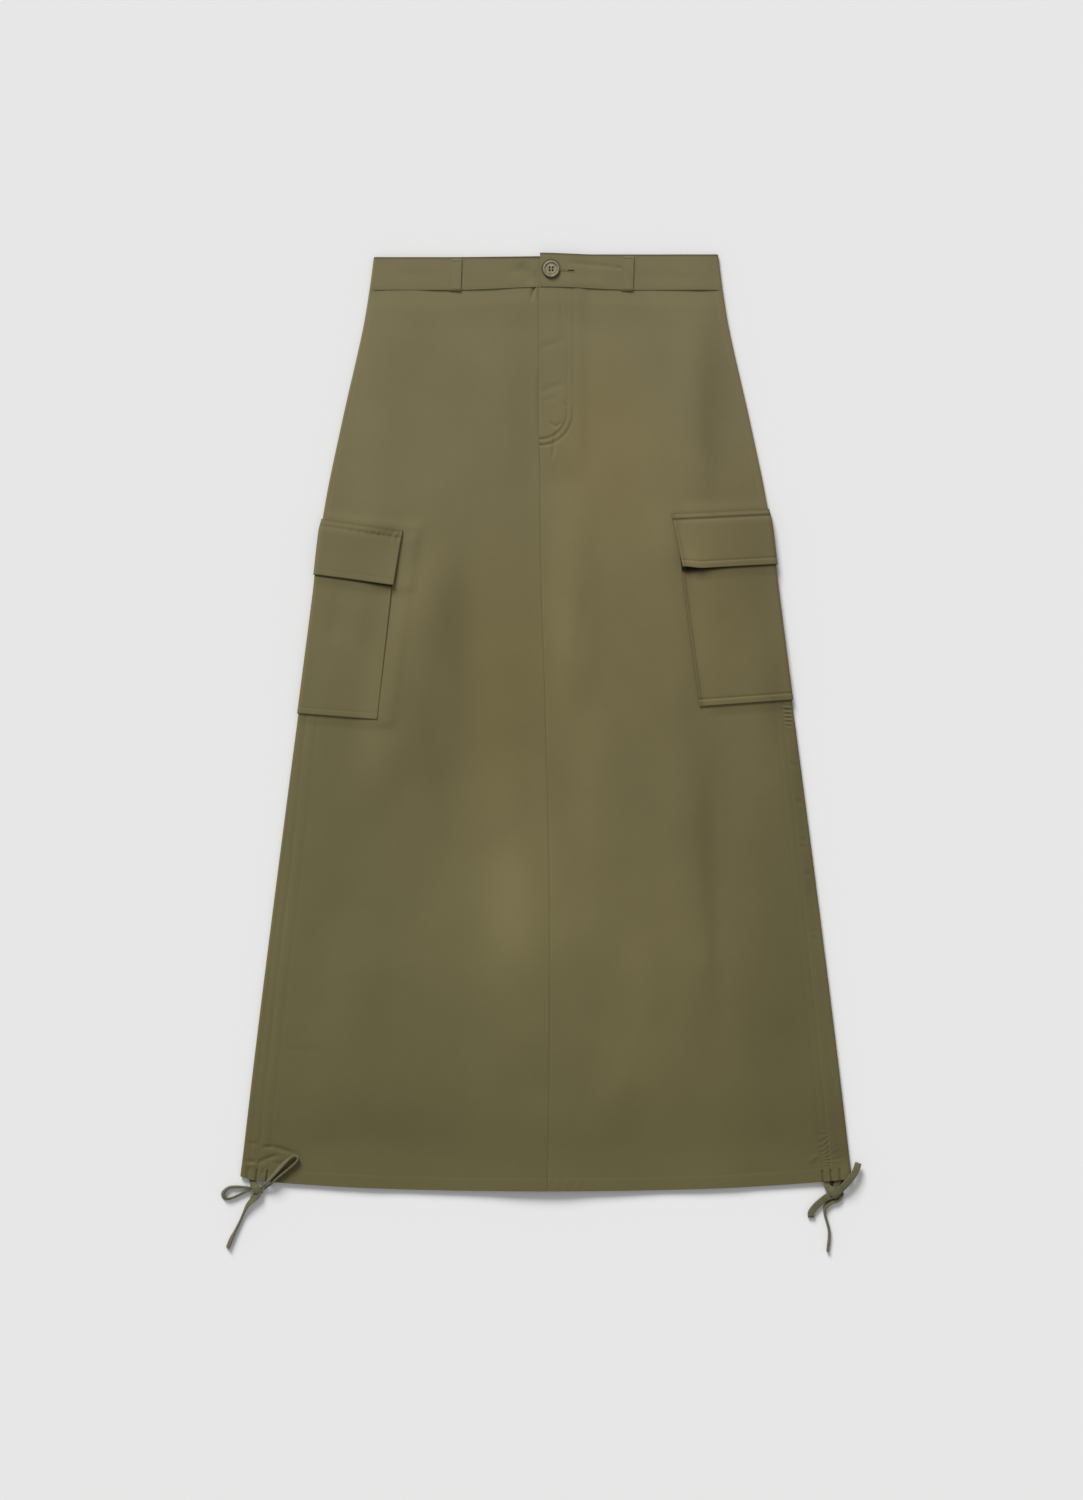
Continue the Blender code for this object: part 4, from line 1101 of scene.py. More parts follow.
# A short dense bar of stitches where the inner row ends, at the foot of the fly.
FLY_TACK_ACROSS = (0.0046, 0.0076)
FLY_TACK_DROP = 0.1848
FLY_TACK_STITCHES = 11
TACK_LENGTH = 0.0018
FLY_TACK_RADIUS = 0.00020
tack_drops = FLY_TACK_DROP + np.linspace(-0.5, 0.5, 3) * TACK_LENGTH
tack_lines = [line_on(front_surface, LEFT, centre_girth(LEFT, tack_drops) - across, tack_drops)
              for across in np.linspace(*FLY_TACK_ACROSS, FLY_TACK_STITCHES)]
sew("stitches_fly", [fly_row_line(row) for row in FLY_ROWS])
sew("bar_tack_fly", tack_lines, TACK_LENGTH, TACK_LENGTH, FLY_TACK_RADIUS)

# ------------------------------------------------------------ the waistband
# One doubled strip, folded along its top. Its left end laps over its right end and
# buttons there. It is stitched along the seam and down the end that laps over.

BAND_EDGE = 0.0006
BAND_SEAM_DROP = BAND_DROP - HALF_SEAM
BAND_TURN_X = 0.166
BAND_ROWS = graded((0.0, 0.012), (0.060, 0.028), (0.90, 0.02), (1.0, 0.0))
BAND_PADDING = 0.00022
BAND_PADDING_FULLNESS = 0.7
BAND_CLEAR_OF_FOLD = (0.003, 0.020)
BAND_WAVES_PITCH = 1.3
BAND_WAVES_SHARE = 0.6
# The fold along the top is darker, and a painted shadow lies on the cloth round the button's rim.
BAND_FOLD_SHADE = 0.60
BAND_FOLD_REACH = 0.0016
TOP_DROPS = {RIGHT: 0.0042, LEFT: 0.0015}
UNDERLAP_END = 0.022
LAP_END = -0.006
LAP_SLOPE_END = 0.050
BAND_ENDS = {RIGHT: UNDERLAP_END, LEFT: LAP_END}
BAND_FRONT_HEIGHT = 0.035
BAND_ROW_ABOVE_SEAM = 0.0016
BAND_ROW_DOWN = 1 - BAND_ROW_ABOVE_SEAM / BAND_FRONT_HEIGHT
BAND_ROW_STARTS = {RIGHT: 0.0005, LEFT: 0.001}
LAP_ROW_INSIDE = 0.0022
LAP_ROW_SPAN = (0.06, 0.95)
BUTTON_RADIUS = 0.0083
BUTTON_AT = (0.0051, 0.4520)
BUTTON_SINKS = 0.0004
BUTTON_SINKS_OFF_RIM = 0.0002
BUTTON_SINKS_REACH = 0.0010
BUTTON_SHADE = 0.60
BUTTON_SHADE_REACH = 0.0012
BUTTONHOLE = (0.0192, 0.4509)
BUTTONHOLE_LENGTH = 0.0185
BUTTONHOLE_SLANT = math.radians(2.5)
BUTTONHOLE_STITCHES = 46
BUTTONHOLE_STITCH = (0.0016, 0.0016, 0.00021)
BUTTONHOLE_OUTER = 0.0015
GAPE_X = 0.0252
GAPE_LENGTH = 0.0066
GAPE_WIDTH = 0.0009
GAPE_SHUT = 0.00002
GAPE_DOWN = 0.4
GAPE_CUT_PROUD = 0.0012
BAND_CREASES = table(
    CREASE_COLUMNS,
    (24, 458.5, 71, 454, -0.45, 2.4),
    (71, 454.5, 78.5, 452, -0.55, 1.6),
    (-26, 458, -14, 438, -1, 5.5),
    (-38, 451, -14, 450, -0.35, 5),
    (-10, 450, -9, 435, -0.5, 1.6),
    (96, 446, 150, 443, -0.2, 5),
    (-150, 448, -110, 446, -0.22, 5),
    (10, 440, 60, 438, 0.25, 5),
    (-83.4, 461, -84.9, 432, -0.55, 0.9),
    (88.4, 463, 87, 432, -0.55, 0.9),
)


def band_top(side, girth, x):
    """How far the waistband's top edge lies below the highest point."""
    front = TOP_DROPS[side] * (1.0 if side is RIGHT else blend(x, LAP_END, LAP_SLOPE_END))
    back = TOP_DROPS[RIGHT] + (TOP_DROPS[LEFT] - TOP_DROPS[RIGHT]) * blend(x, -BAND_TURN_X, BAND_TURN_X)
    return np.where(girth > 0, front, back)


def band_girth(side, x):
    """Girth, towards the front, of a place on the waistband given by its x."""
    return middle_girth(BAND_SEAM_DROP) - side.sign * x


def off_button(x, y):
    """Distance of a place from the button's rim."""
    return np.hypot(x - BUTTON_AT[0], y - BUTTON_AT[1]) - BUTTON_RADIUS


def band_surface(side, girth, down):
    """Places on the outside of the waistband, down from its top edge at 0 to its seam at 1."""
    x, seam_y = place_of(side, girth, BAND_SEAM_DROP)
    lap = (BAND_WALL + GAP) * (1 - blend(x, UNDERLAP_END + GAP, LAP_SLOPE_END))
    lift = np.where((girth > 0) & (side is LEFT), lap, 0.0)
    y = seam_y + (TOP_Y - band_top(side, girth, x) - seam_y) * (1 - down)
    padding = BAND_PADDING * np.sin(math.pi * np.clip(down, 0.0, 1.0)) ** BAND_PADDING_FULLNESS
    waves = unevenness(x * BAND_WAVES_PITCH, y) * BAND_WAVES_SHARE + crease_height(BAND_CREASES, x, y)
    waves = (waves + padding) * blend(girth, *BAND_CLEAR_OF_FOLD)
    if side is LEFT:
        sunk = BUTTON_SINKS * bell(off_button(x, y) - BUTTON_SINKS_OFF_RIM, BUTTON_SINKS_REACH)
        stitched = STITCH_DIP * bell(x - LAP_END - LAP_ROW_INSIDE, STITCH_REACH)
        waves = waves - (sunk + stitched) * (girth > 0)
    waves = waves - STITCH_DIP * bell(y - seam_y - BAND_ROW_ABOVE_SEAM, STITCH_REACH)
    points = ring_points(side, girth, BAND_SEAM_DROP, out=waves, lift=lift)
    taper = half_width(BAND_SEAM_DROP * down) / half_width(BAND_SEAM_DROP)
    points[..., 0] *= 1 + (taper - 1) * blend(np.abs(points[..., 0]), 0.0, BAND_TURN_X)
    points[..., 1] = y
    return points


def band_half(side):
    """Points and cut of the waistband from its end in front to the middle of the back."""
    end = band_girth(side, BAND_ENDS[side])
    columns = np.concatenate([
        end - graded((0.0, 0.0006), (0.0060, 0.0)),
        np.linspace(end - 0.0060, ARC_END, 190)[1:],
        np.linspace(ARC_END, -ARC_END, 13)[1:],
        np.linspace(-ARC_END, -band_girth(side, 0.0), 60)[1:],
    ])
    girth, down = on_both(BAND_ROWS, columns)
    return [band_surface(side, girth, down), down * BAND_DROP, side.sign * girth]


def cut_out(piece, cutter):
    """Cuts a shape out of a piece, with its thickness, and does away with the cutter."""
    cut = piece.modifiers.new("Cut", "BOOLEAN")
    cut.operation = "DIFFERENCE"
    cut.solver = "EXACT"
    cut.object = cutter
    bpy.context.view_layer.update()
    graph = bpy.context.evaluated_depsgraph_get()
    mesh = bpy.data.meshes.new_from_object(piece.evaluated_get(graph))
    piece.modifiers.clear()
    piece.data = mesh
    bpy.data.objects.remove(cutter, do_unlink=True)


def buttonhole_y(x):
    """Y of the buttonhole's line at an x."""
    return BUTTONHOLE[1] - (x - BUTTONHOLE[0]) * math.tan(BUTTONHOLE_SLANT)


points, across, along = both_halves(band_half, 2)
shade = 1 - BAND_FOLD_SHADE * bell(across, BAND_FOLD_REACH)
shade *= 1 - BUTTON_SHADE * bell(off_button(points[..., 0], points[..., 1]), BUTTON_SHADE_REACH)
band = cloth_piece("waistband_cloth", points, (across, along), shade, BAND_WALL, BAND_EDGE, segments=3)
gape_z = float(band_surface(LEFT, band_girth(LEFT, GAPE_X), GAPE_DOWN)[2]) - BAND_WALL / 2
bpy.ops.mesh.primitive_cylinder_add(vertices=16, radius=0.5, depth=1.0,
                                    location=(GAPE_X, buttonhole_y(GAPE_X), gape_z))
slot = bpy.context.object
slot.scale = (GAPE_LENGTH, GAPE_WIDTH, BAND_WALL + GAPE_CUT_PROUD)
slot.rotation_euler.z = -BUTTONHOLE_SLANT
cut_out(band, slot)
belongs(band, "cloth", "waistband")
around = 2 * (2 * float(half_width(0.0))) + UNDERLAP_END - LAP_END


def buttonhole_lines():
    """Short lines across both edges of the buttonhole, which meet where it is shut."""
    lines = []
    half = BUTTONHOLE_LENGTH / 2
    for x in np.linspace(BUTTONHOLE[0] - half, BUTTONHOLE[0] + half, BUTTONHOLE_STITCHES):
        inner = GAPE_WIDTH / 2 if abs(x - GAPE_X) < GAPE_LENGTH / 2 else GAPE_SHUT
        girth = band_girth(LEFT, x)
        top, seam = (float(band_surface(LEFT, girth, down)[1]) for down in (0.0, 1.0))
        for sign in (-1, 1):
            ys = buttonhole_y(x) + sign * np.linspace(inner, BUTTONHOLE_OUTER, 4)
            lines.append(line_on(band_surface, LEFT, np.full(4, girth), (top - ys) / (top - seam)))
    return lines


def band_row(side):
    """The row along the waistband's seam, from the lap to the middle of the back."""
    start = band_girth(side, LAP_END) - BAND_ROW_STARTS[side]
    return line_on(band_surface, side, np.linspace(start, -band_girth(side, 0.0), 400), BAND_ROW_DOWN)


lap_row = line_on(band_surface, LEFT, band_girth(LEFT, LAP_END + LAP_ROW_INSIDE),
                  np.linspace(*LAP_ROW_SPAN, 60))
sew("stitches_waistband", [band_row(RIGHT), band_row(LEFT), lap_row])
sew("stitches_buttonhole", buttonhole_lines(), *BUTTONHOLE_STITCH)

# ------------------------------------------------------------ the belt loops
# Flat strips folded in three and stitched down both sides. Each is turned under and
# tacked at its top and just below the waistband, and stands a little off the cloth.

LOOP_WIDTH = 0.012
LOOP_DROP = 0.0015
LOOP_TAIL = 0.0382
LOOP_WALL = 0.0010
LOOP_EDGE = 0.0004
LOOP_BOW = 0.0003
LOOP_TUCK = 0.0003
LOOP_TUCK_SHARE = 0.05
LOOP_TILT = 0.0010
LOOP_LEAN = -0.0011
LOOP_ROW_INSIDE = 0.0019
LOOP_ROW_ENDS = 0.0015
# Painted shadow along the foot of each loop, where it stands off the cloth.
LOOP_FOOT_SHADE = 0.70
LOOP_FOOT_REACH = 0.0009
LOOP_TACK_INSIDE = 0.0022
LOOP_TACK_SIDES = 0.0012
LOOP_TACK_STITCHES = 24
LOOP_TACK_RADIUS = 0.00018
LOOP_CENTRES = {RIGHT: -0.0900, LEFT: 0.0820}


def band_face(x):
    """Height of the waistband's front at a place on it."""
    side = LEFT if x >= LAP_END else RIGHT
    return band_surface(side, band_girth(side, x), np.array(0.5))[..., 2]


def loop_top(side):
    """Y of a belt loop's top."""
    centre = LOOP_CENTRES[side]
    return TOP_Y - band_top(side, band_girth(side, centre), centre) - LOOP_DROP


def loop_length(side):
    return float(loop_top(side) - TOP_Y + LOOP_TAIL)


def loop_surface(side, across, down):
    """Places on a belt loop: across it from its middle, down it from its top."""
    centre = LOOP_CENTRES[side]
    share = down / loop_length(side)
    rise = LOOP_BOW * np.sin(math.pi * np.clip(share, 0.0, 1.0))
    rise = rise - LOOP_TUCK * (bell(share, LOOP_TUCK_SHARE) + bell(share - 1, LOOP_TUCK_SHARE))
    rise = rise + LOOP_TILT * (across / LOOP_WIDTH - 0.5)
    rise = rise - STITCH_DIP * bell(np.abs(across) - LOOP_WIDTH / 2 + LOOP_ROW_INSIDE, STITCH_REACH)
    x = centre + across + LOOP_LEAN * share
    return np.stack([x, loop_top(side) - down + 0 * across, band_face(centre) + LOOP_WALL + rise], axis=-1)


def loop_line(side, across, down):
    """A line on a belt loop, and the way up along it."""
    points = loop_surface(side, across + 0 * down, down)
    return points, np.broadcast_to((0.0, 0.0, 1.0), points.shape)


def make_belt_loop(side):
    half, length = LOOP_WIDTH / 2, loop_length(side)
    edge = graded((-half, 0.0006), (-half + 0.0030, 0.0012), (0.0, 0.0))
    rows = graded((0.0, 0.0006), (0.003, 0.0015), (length - 0.003, 0.0006), (length, 0.0))
    across, down = on_both(rows, np.concatenate([edge, -edge[-2::-1]]))
    shade = 1 - LOOP_FOOT_SHADE * bell(length - down, LOOP_FOOT_REACH)
    node = "belt_loop_" + side.name
    piece = cloth_piece(node + "_cloth", loop_surface(side, across, down), (across, down), shade,
                        LOOP_WALL, LOOP_EDGE, segments=3)
    belongs(piece, "cloth", node)
    down = np.linspace(LOOP_ROW_ENDS, length - LOOP_ROW_ENDS, 60)
    sew("stitches_" + node, [loop_line(side, sign * (half - LOOP_ROW_INSIDE), down) for sign in (-1, 1)])
    bars = []
    for place in (LOOP_TACK_INSIDE, length - LOOP_TACK_INSIDE):
        down = place + np.linspace(-0.5, 0.5, 3) * TACK_LENGTH
        for off in np.linspace(LOOP_TACK_SIDES - half, half - LOOP_TACK_SIDES, LOOP_TACK_STITCHES):
            bars.append(loop_line(side, off, down))
    sew("bar_tacks_" + side.name, bars, TACK_LENGTH, TACK_LENGTH, LOOP_TACK_RADIUS)


for side in SIDES:
    make_belt_loop(side)

# ------------------------------------------------------------ the button
# A turned four-hole button in mottled olive-brown resin with a raised rim, sewn to the
# band's under end with olive thread.

BUTTON_HEIGHT = 0.0026
BUTTON_STAND = 0.0003
BUTTON_STEPS = 72
BUTTON_FACE = 0.62
BUTTON_PROFILE = table(
    "radius height",
    (0.30, BUTTON_FACE), (0.58, BUTTON_FACE), (0.66, 0.60), (0.69, 0.44), (0.73, 0.44), (0.765, 0.80),
    (0.82, 0.97), (0.88, 1.00), (0.94, 0.94), (0.99, 0.74), (1.00, 0.52), (0.97, 0.28), (0.88, 0.08),
    (0.78, 0.00),
)
THREAD_HOLE_RADIUS = 0.00098
THREAD_HOLE_SPACING = 0.0030
THREAD_HOLE_RIM = (THREAD_HOLE_RADIUS * 1.12, THREAD_HOLE_RADIUS * 1.02)
RESIN_DARK = colour_of(112, 104, 80)
RESIN_PALE = colour_of(148, 138, 109)
HOLE_PAINTED_SHADE = colour_of(30, 27, 18)
BAR_RADIUS = 0.00026
# Along a bar of thread, over half the spacing of the holes, and its height off the face.
BAR_PROFILE = table(
    "along height",
    (-0.62, -0.0018), (-0.56, -0.0006), (-0.38, 0.00008), (0.0, 0.0002), (0.38, 0.00008), (0.56, -0.0006),
    (0.62, -0.0018),
)


def button_finish():
    """Matt resin with a mottled grain like horn, with painted shade inside its four holes."""
    material, tree, shader = new_finish("olive-brown resin")
    place = add_node(tree, "TexCoord", output="Object")
    mottle = add_node(tree, "TexNoise", {"Vector": place, "Scale": 420.0, "Detail": 4.0})
    shade = ranged(tree, mottle, 0.35, 0.65, 0.0, 1.0)
    resin = mixed(tree, shade, RESIN_DARK, RESIN_PALE)
    x, y, _ = add_node(tree, "SeparateXYZ", [place]).node.outputs
    from_hole = [maths(tree, "SUBTRACT", maths(tree, "ABSOLUTE", along), THREAD_HOLE_SPACING / 2)
                 for along in (x, y)]
    from_hole = add_node(tree, "CombineXYZ", from_hole)
    off_hole = add_node(tree, "VectorMath", [from_hole], "Value", operation="LENGTH")
    in_hole = ranged(tree, off_hole, *THREAD_HOLE_RIM, 0.0, 1.0)
    connect(tree, shader, {
        "Base Color": mixed(tree, in_hole, resin, HOLE_PAINTED_SHADE),
        "Normal": add_node(tree, "Bump", {"Strength": 0.15, "Distance": 0.0002, "Height": mottle}),
        "Roughness": ranged(tree, mottle, 0.0, 1.0, 0.38, 0.55),
    })
    return material


button_foot = float(band_face(BUTTON_AT[0])) + BUTTON_STAND
turns = np.arange(BUTTON_STEPS) * 2 * math.pi / BUTTON_STEPS
rings = [[(ring.radius * BUTTON_RADIUS * math.cos(turn), ring.radius * BUTTON_RADIUS * math.sin(turn),
           ring.height * BUTTON_HEIGHT) for turn in turns] for ring in reversed(BUTTON_PROFILE)]
button = tubes_mesh("button_resin", [np.array([rings])], button_finish())
button.location = (*BUTTON_AT, button_foot)
half = THREAD_HOLE_SPACING / 2
for x in (BUTTON_AT[0] - half, BUTTON_AT[0] + half):
    for y in (BUTTON_AT[1] - half, BUTTON_AT[1] + half):
        bpy.ops.mesh.primitive_cylinder_add(vertices=20, radius=THREAD_HOLE_RADIUS,
                                            depth=BUTTON_HEIGHT * 3, location=(x, y, button_foot))
        cut_out(button, bpy.context.object)
button.data.shade_smooth()
button.data.set_sharp_from_angle(angle=math.radians(40))
belongs(button, "button", "button")

turns = np.arange(8) * 2 * math.pi / 8
face = button_foot + BUTTON_HEIGHT * BUTTON_FACE
bars = []
for x in (BUTTON_AT[0] - half, BUTTON_AT[0] + half):
    for shift in (-BAR_RADIUS, BAR_RADIUS):
        bars.append(np.array([[[(x + shift - BAR_RADIUS * math.cos(turn), BUTTON_AT[1] + half * ring.along,
                                 face + ring.height + BAR_RADIUS * math.sin(turn)) for turn in turns]
                               for ring in BAR_PROFILE]]))
belongs(tubes_mesh("button_thread", bars, olive_thread), "button")

# ------------------------------------------------------------ the cargo pockets
# A patch pocket wraps each side fold. Its edges are turned in and stitched down
# on the front and the back; the mouth is under the flap.

EDGE_ROW = 0.0065
FRONT_ROW = 0.0030
EDGE_RISE = 0.00016
EDGE_STEP = 0.0011
ROW_DIP = 0.00026
ROW_REACH = 0.0009
ROW_SHORT = 0.001
PATCH_WALL = 0.0010
PATCH_EDGE = 0.00025
PATCH_CUT_ACROSS = 0.37
PATCH_CUT_ALONG = 0.21
POCKET_MARKED = {RIGHT: 0.5, LEFT: 1.9}
POCKET_PUFF = 0.0010
POCKET_PUFF_FULLNESS = 0.8
POCKET_FINE_ABOVE_FLAP_EDGE = 0.004
POCKET_FINE_BELOW_FLAP_EDGE = 0.006
POCKET_CREASES = table(
    CREASE_COLUMNS,
    (-207, 136, -217, 81, -1, 9),
    (-206, 112, -219, 51, -0.5, 8),
    (-186, 118, -194, 60, 0.5, 7),
    (175, 110, 190, 60, -0.5, 8),
    (150, 100, 160, 50, 0.3, 7),
)
# Painted shade along the patches' edges: how dark they are in a line at or inside their front
# edge, how far inside it, and how far that reaches; then the same at their bottom edge.
FRONT_SHADES = {RIGHT: ((0.50, 0.0, 0.0008),), LEFT: ((0.16, FRONT_ROW, 0.0012), (0.30, 0.0, 0.0006))}
BOTTOM_SHADES = {RIGHT: (0.65, 0.0008), LEFT: (0.40, 0.0006)}
# Under the flap, and in a narrow band just below its edge, a pocket carries a painted shadow
# of the flap: less so at the side. On the left the band is wider near the front edge by a bell,
# on the right it widens steadily towards it.
FLAP_SHADOW = 0.92
FLAP_SHADOW_AT_SIDE = 0.55
FLAP_SHADOW_START = 0.0003
FLAP_SHADOW_END = 0.0024
FLAP_SHADOW_FRONT_SHARE = 0.8
LEFT_FLAP_SHADOW_WIDER = 0.0036
LEFT_FLAP_SHADOW_WIDER_AT = 0.010
LEFT_FLAP_SHADOW_WIDER_REACH = 0.022
RIGHT_FLAP_SHADOW_WIDER = 0.0012
RIGHT_FLAP_SHADOW_WIDER_FROM = 0.020


def edge_form(distance, row, shown=1.0):
    """Form of a turned edge and the row of stitches inside it, by the distance from it."""
    band = EDGE_RISE * (1 - blend(distance, row - EDGE_STEP, row))
    return (band - ROW_DIP * bell(distance - row, ROW_REACH)) * shown


def turned_edges(extent, girth, drop, front, bottom, top=0.0):
    """Form of a patch's edges, shown by so much on the front; behind they only dent it."""
    low = extent.bottom - drop
    before = edge_form(extent.front - girth, FRONT_ROW, front) + edge_form(low, EDGE_ROW, bottom)
    before = before + edge_form(drop - extent.top, EDGE_ROW, top)
    behind = np.minimum(edge_form(extent.back + girth, FRONT_ROW) + edge_form(low, EDGE_ROW), 0.0)
    return np.where(girth > 0, before, behind)


# How far the front edges of pockets and flaps are out of line at their top and bottom.
POCKET_LEANS = {RIGHT: (-0.0012, 0.0018), LEFT: (-0.0008, 0.0)}
FLAP_LEANS = {RIGHT: (0.0, -0.0026), LEFT: (-0.0022, 0.0016)}
LEAN_REACH = 0.050


def leant(points, from_front, share, lean):
    """Moves the front part of a patch sideways, by one value at its top and one at its bottom."""
    at_top, at_bottom = lean
    points[..., 0] += (at_top + (at_bottom - at_top) * share) * (1 - blend(from_front, 0.0, LEAN_REACH))
    return points


def pocket_surface(side, girth, drop):
    """Places on the outside of a pocket."""
    x, y = place_of(side, girth, drop)
    from_front = side.pocket_front - girth
    height = (drop - side.flap_top) / (side.pocket_bottom - side.flap_top)
    puff = POCKET_PUFF * np.sin(math.pi * np.clip(height, 0, 1)) ** POCKET_PUFF_FULLNESS
    puff = puff * blend(from_front, *CLEAR_OF_FOLD)
    waves = unevenness(x, y) + crease_height(POCKET_CREASES, x, y) + puff
    marked = POCKET_MARKED[side]
    edges = turned_edges(pocket_extent(side), girth, drop, marked, marked)
    points = ring_points(side, girth, drop, out=TRIM_STEP + waves * blend(girth, *CLEAR_OF_FOLD) + edges)
    share = np.clip((drop - side.flap_bottom) / (side.pocket_bottom - side.flap_bottom), 0.0, 1.0)
    return leant(points, from_front, share, POCKET_LEANS[side])


def pocket_flap_shadow(side, girth, drop):
    """How light a pocket is under the painted shadow of its flap."""
    if side is LEFT:
        wider = bell(side.pocket_front - girth - LEFT_FLAP_SHADOW_WIDER_AT, LEFT_FLAP_SHADOW_WIDER_REACH)
        wider = wider * LEFT_FLAP_SHADOW_WIDER
    else:
        wider = RIGHT_FLAP_SHADOW_WIDER * blend(girth, RIGHT_FLAP_SHADOW_WIDER_FROM, side.pocket_front)
    in_flap_shadow = 1 - blend(drop - side.flap_bottom, FLAP_SHADOW_START, FLAP_SHADOW_END + wider)
    in_front = blend(girth, 0.0, side.pocket_front * FLAP_SHADOW_FRONT_SHARE)
    return 1 - FLAP_SHADOW * in_flap_shadow * (FLAP_SHADOW_AT_SIDE + (1 - FLAP_SHADOW_AT_SIDE) * in_front)


def edge_shade(side, from_front, from_bottom):
    """How dark the painted shade is at a patch's front and bottom edges."""
    dark, reach = BOTTOM_SHADES[side]
    shade = dark * bell(from_bottom, reach)
    for dark, inside, reach in FRONT_SHADES[side]:
        shade = np.maximum(shade, dark * bell(from_front - inside, reach))
    return shade


def patch_grid(side, extent, fine):
    """Girths and drops over a patch, closer together at its edges, rows of stitches and fine drops."""
    front, back, top, bottom = extent
    fine_top, fine_bottom = fine
    from_front = graded((0.0, 0.0006), (0.0042, 0.0013), (0.012, 0.0025), (front - ARC_END, 0.0))
    on_arc = np.linspace(ARC_END, -ARC_END, 15)[1:]
    behind = graded((0.002, 0.0030), (back - ARC_END - 0.0042, 0.0006), (back - ARC_END, 0.0))
    from_bottom = graded(
        (0.0, 0.0006), (0.0018, 0.0013), (EDGE_ROW - 0.0012, 0.0006), (EDGE_ROW + 0.0012, 0.0013),
        (0.012, 0.0025), (bottom - fine_bottom, 0.0008), (bottom - fine_top, 0.0025), (bottom - top, 0.0),
    )
    columns = np.concatenate([front - from_front, on_arc, -ARC_END - behind])
    if side is RIGHT:
        columns = columns[::-1]
    return on_both(bottom - from_bottom[::-1], columns)


def patch_lines(surface, side, extent, closed_top):
    """Lines of stitches round a patch, inside its edges."""
    front, back, top, bottom = extent
    down = np.linspace(top + ROW_SHORT, bottom - ROW_SHORT, 120)
    along = np.linspace(front - ROW_SHORT, ROW_SHORT - back, 300)
    rows = [(front - FRONT_ROW, down), (FRONT_ROW - back, down), (along, bottom - EDGE_ROW)]
    if closed_top:
        rows.append((along, top + EDGE_ROW))
    return [line_on(surface, side, *row) for row in rows]


def make_patch(kind, side, surface, extent, fine, shade_of):
    """A pocket or a flap, with its rows of stitches."""
    girth, drop = patch_grid(side, extent, fine)
    shade = 1 - edge_shade(side, extent.front - girth, extent.bottom - drop)
    node = kind + "_" + side.name
    cut = (side.sign * girth + PATCH_CUT_ACROSS, drop + PATCH_CUT_ALONG)
    piece = cloth_piece(node + "_cloth", surface(side, girth, drop), cut,
                        shade * shade_of(side, girth, drop), PATCH_WALL, PATCH_EDGE)
    belongs(piece, "cloth", node)
    sew("stitches_" + node, patch_lines(surface, side, extent, closed_top=kind == "flap"))


for side in SIDES:
    fine = (side.flap_bottom - POCKET_FINE_ABOVE_FLAP_EDGE, side.flap_bottom + POCKET_FINE_BELOW_FLAP_EDGE)
    make_patch("pocket", side, pocket_surface, pocket_extent(side), fine, pocket_flap_shadow)

# ------------------------------------------------------------ the flaps
# A doubled flap is sewn on above each pocket and closes over its mouth. It is stitched
# round its edges, and its lower front corner curls up a little.

FLAP_FLARE = 0.0010
FLAP_CORNER_FLARE = 0.0008
FLAP_CORNER_CURL = {RIGHT: 0.0, LEFT: 0.0024}
FLAP_CORNER_RISE = {RIGHT: 0.0, LEFT: 0.0026}
FLAP_FRONT_MARKED = 0.3
FLAP_BOTTOM_MARKED = {RIGHT: 0.3, LEFT: 1.6}
FLAP_TOP_MARKED = {RIGHT: 0.9, LEFT: 1.6}
FLAP_OFF_SIDE = 0.026
FLAP_CURL_INSIDE = 0.006
FLAP_CURL_ACROSS = 0.020
FLAP_CURL_DOWN = 0.012
FLAP_RISE_REACH = 0.022
FLAP_FINE_FROM = 0.0008
FLAP_FINE_TO = 0.010
PUCKER_HEIGHT = {RIGHT: 0.00070, LEFT: 0.00035}
PUCKER_WAVES = (0.0068, 1.8, 0.0095)
PUCKER_REACH = 0.0034
PUCKER_GIRTHS = (0.015, 0.050)
POCKET_CREASES_SHOWN = 0.6
FLAP_TOP_SHADE = 0.34
FLAP_TOP_SHADE_REACH = 0.0009
# Painted shade just above the flap's top row: how dark it is there, and how far that reaches.
FLAP_ROW_SHADE = {RIGHT: (0.16, 0.0026), LEFT: (0.50, 0.0015)}
FLAP_ROW_SHADE_ABOVE = 0.0006
RIGHT_ROW_SHADE = 0.12
RIGHT_ROW_SHADE_REACH = 0.0016
RIGHT_ROW_SHADE_GIRTHS = (0.020, 0.050)
FLAP_CREASES = table(
    CREASE_COLUMNS,
    (-150, 192, -152, 186.5, -0.77, 1.2),
    (-157, 191, -159, 185.5, -0.68, 1.2),
    (-163, 190, -166, 184.5, -0.77, 1.3),
    (-171, 190, -173, 185, -0.59, 1.2),
    (163, 208, 165, 202, -0.68, 1.3),
    (169, 207.5, 170, 201.5, -0.68, 1.2),
    (217, 206, 217.5, 200, -0.68, 1.3),
)


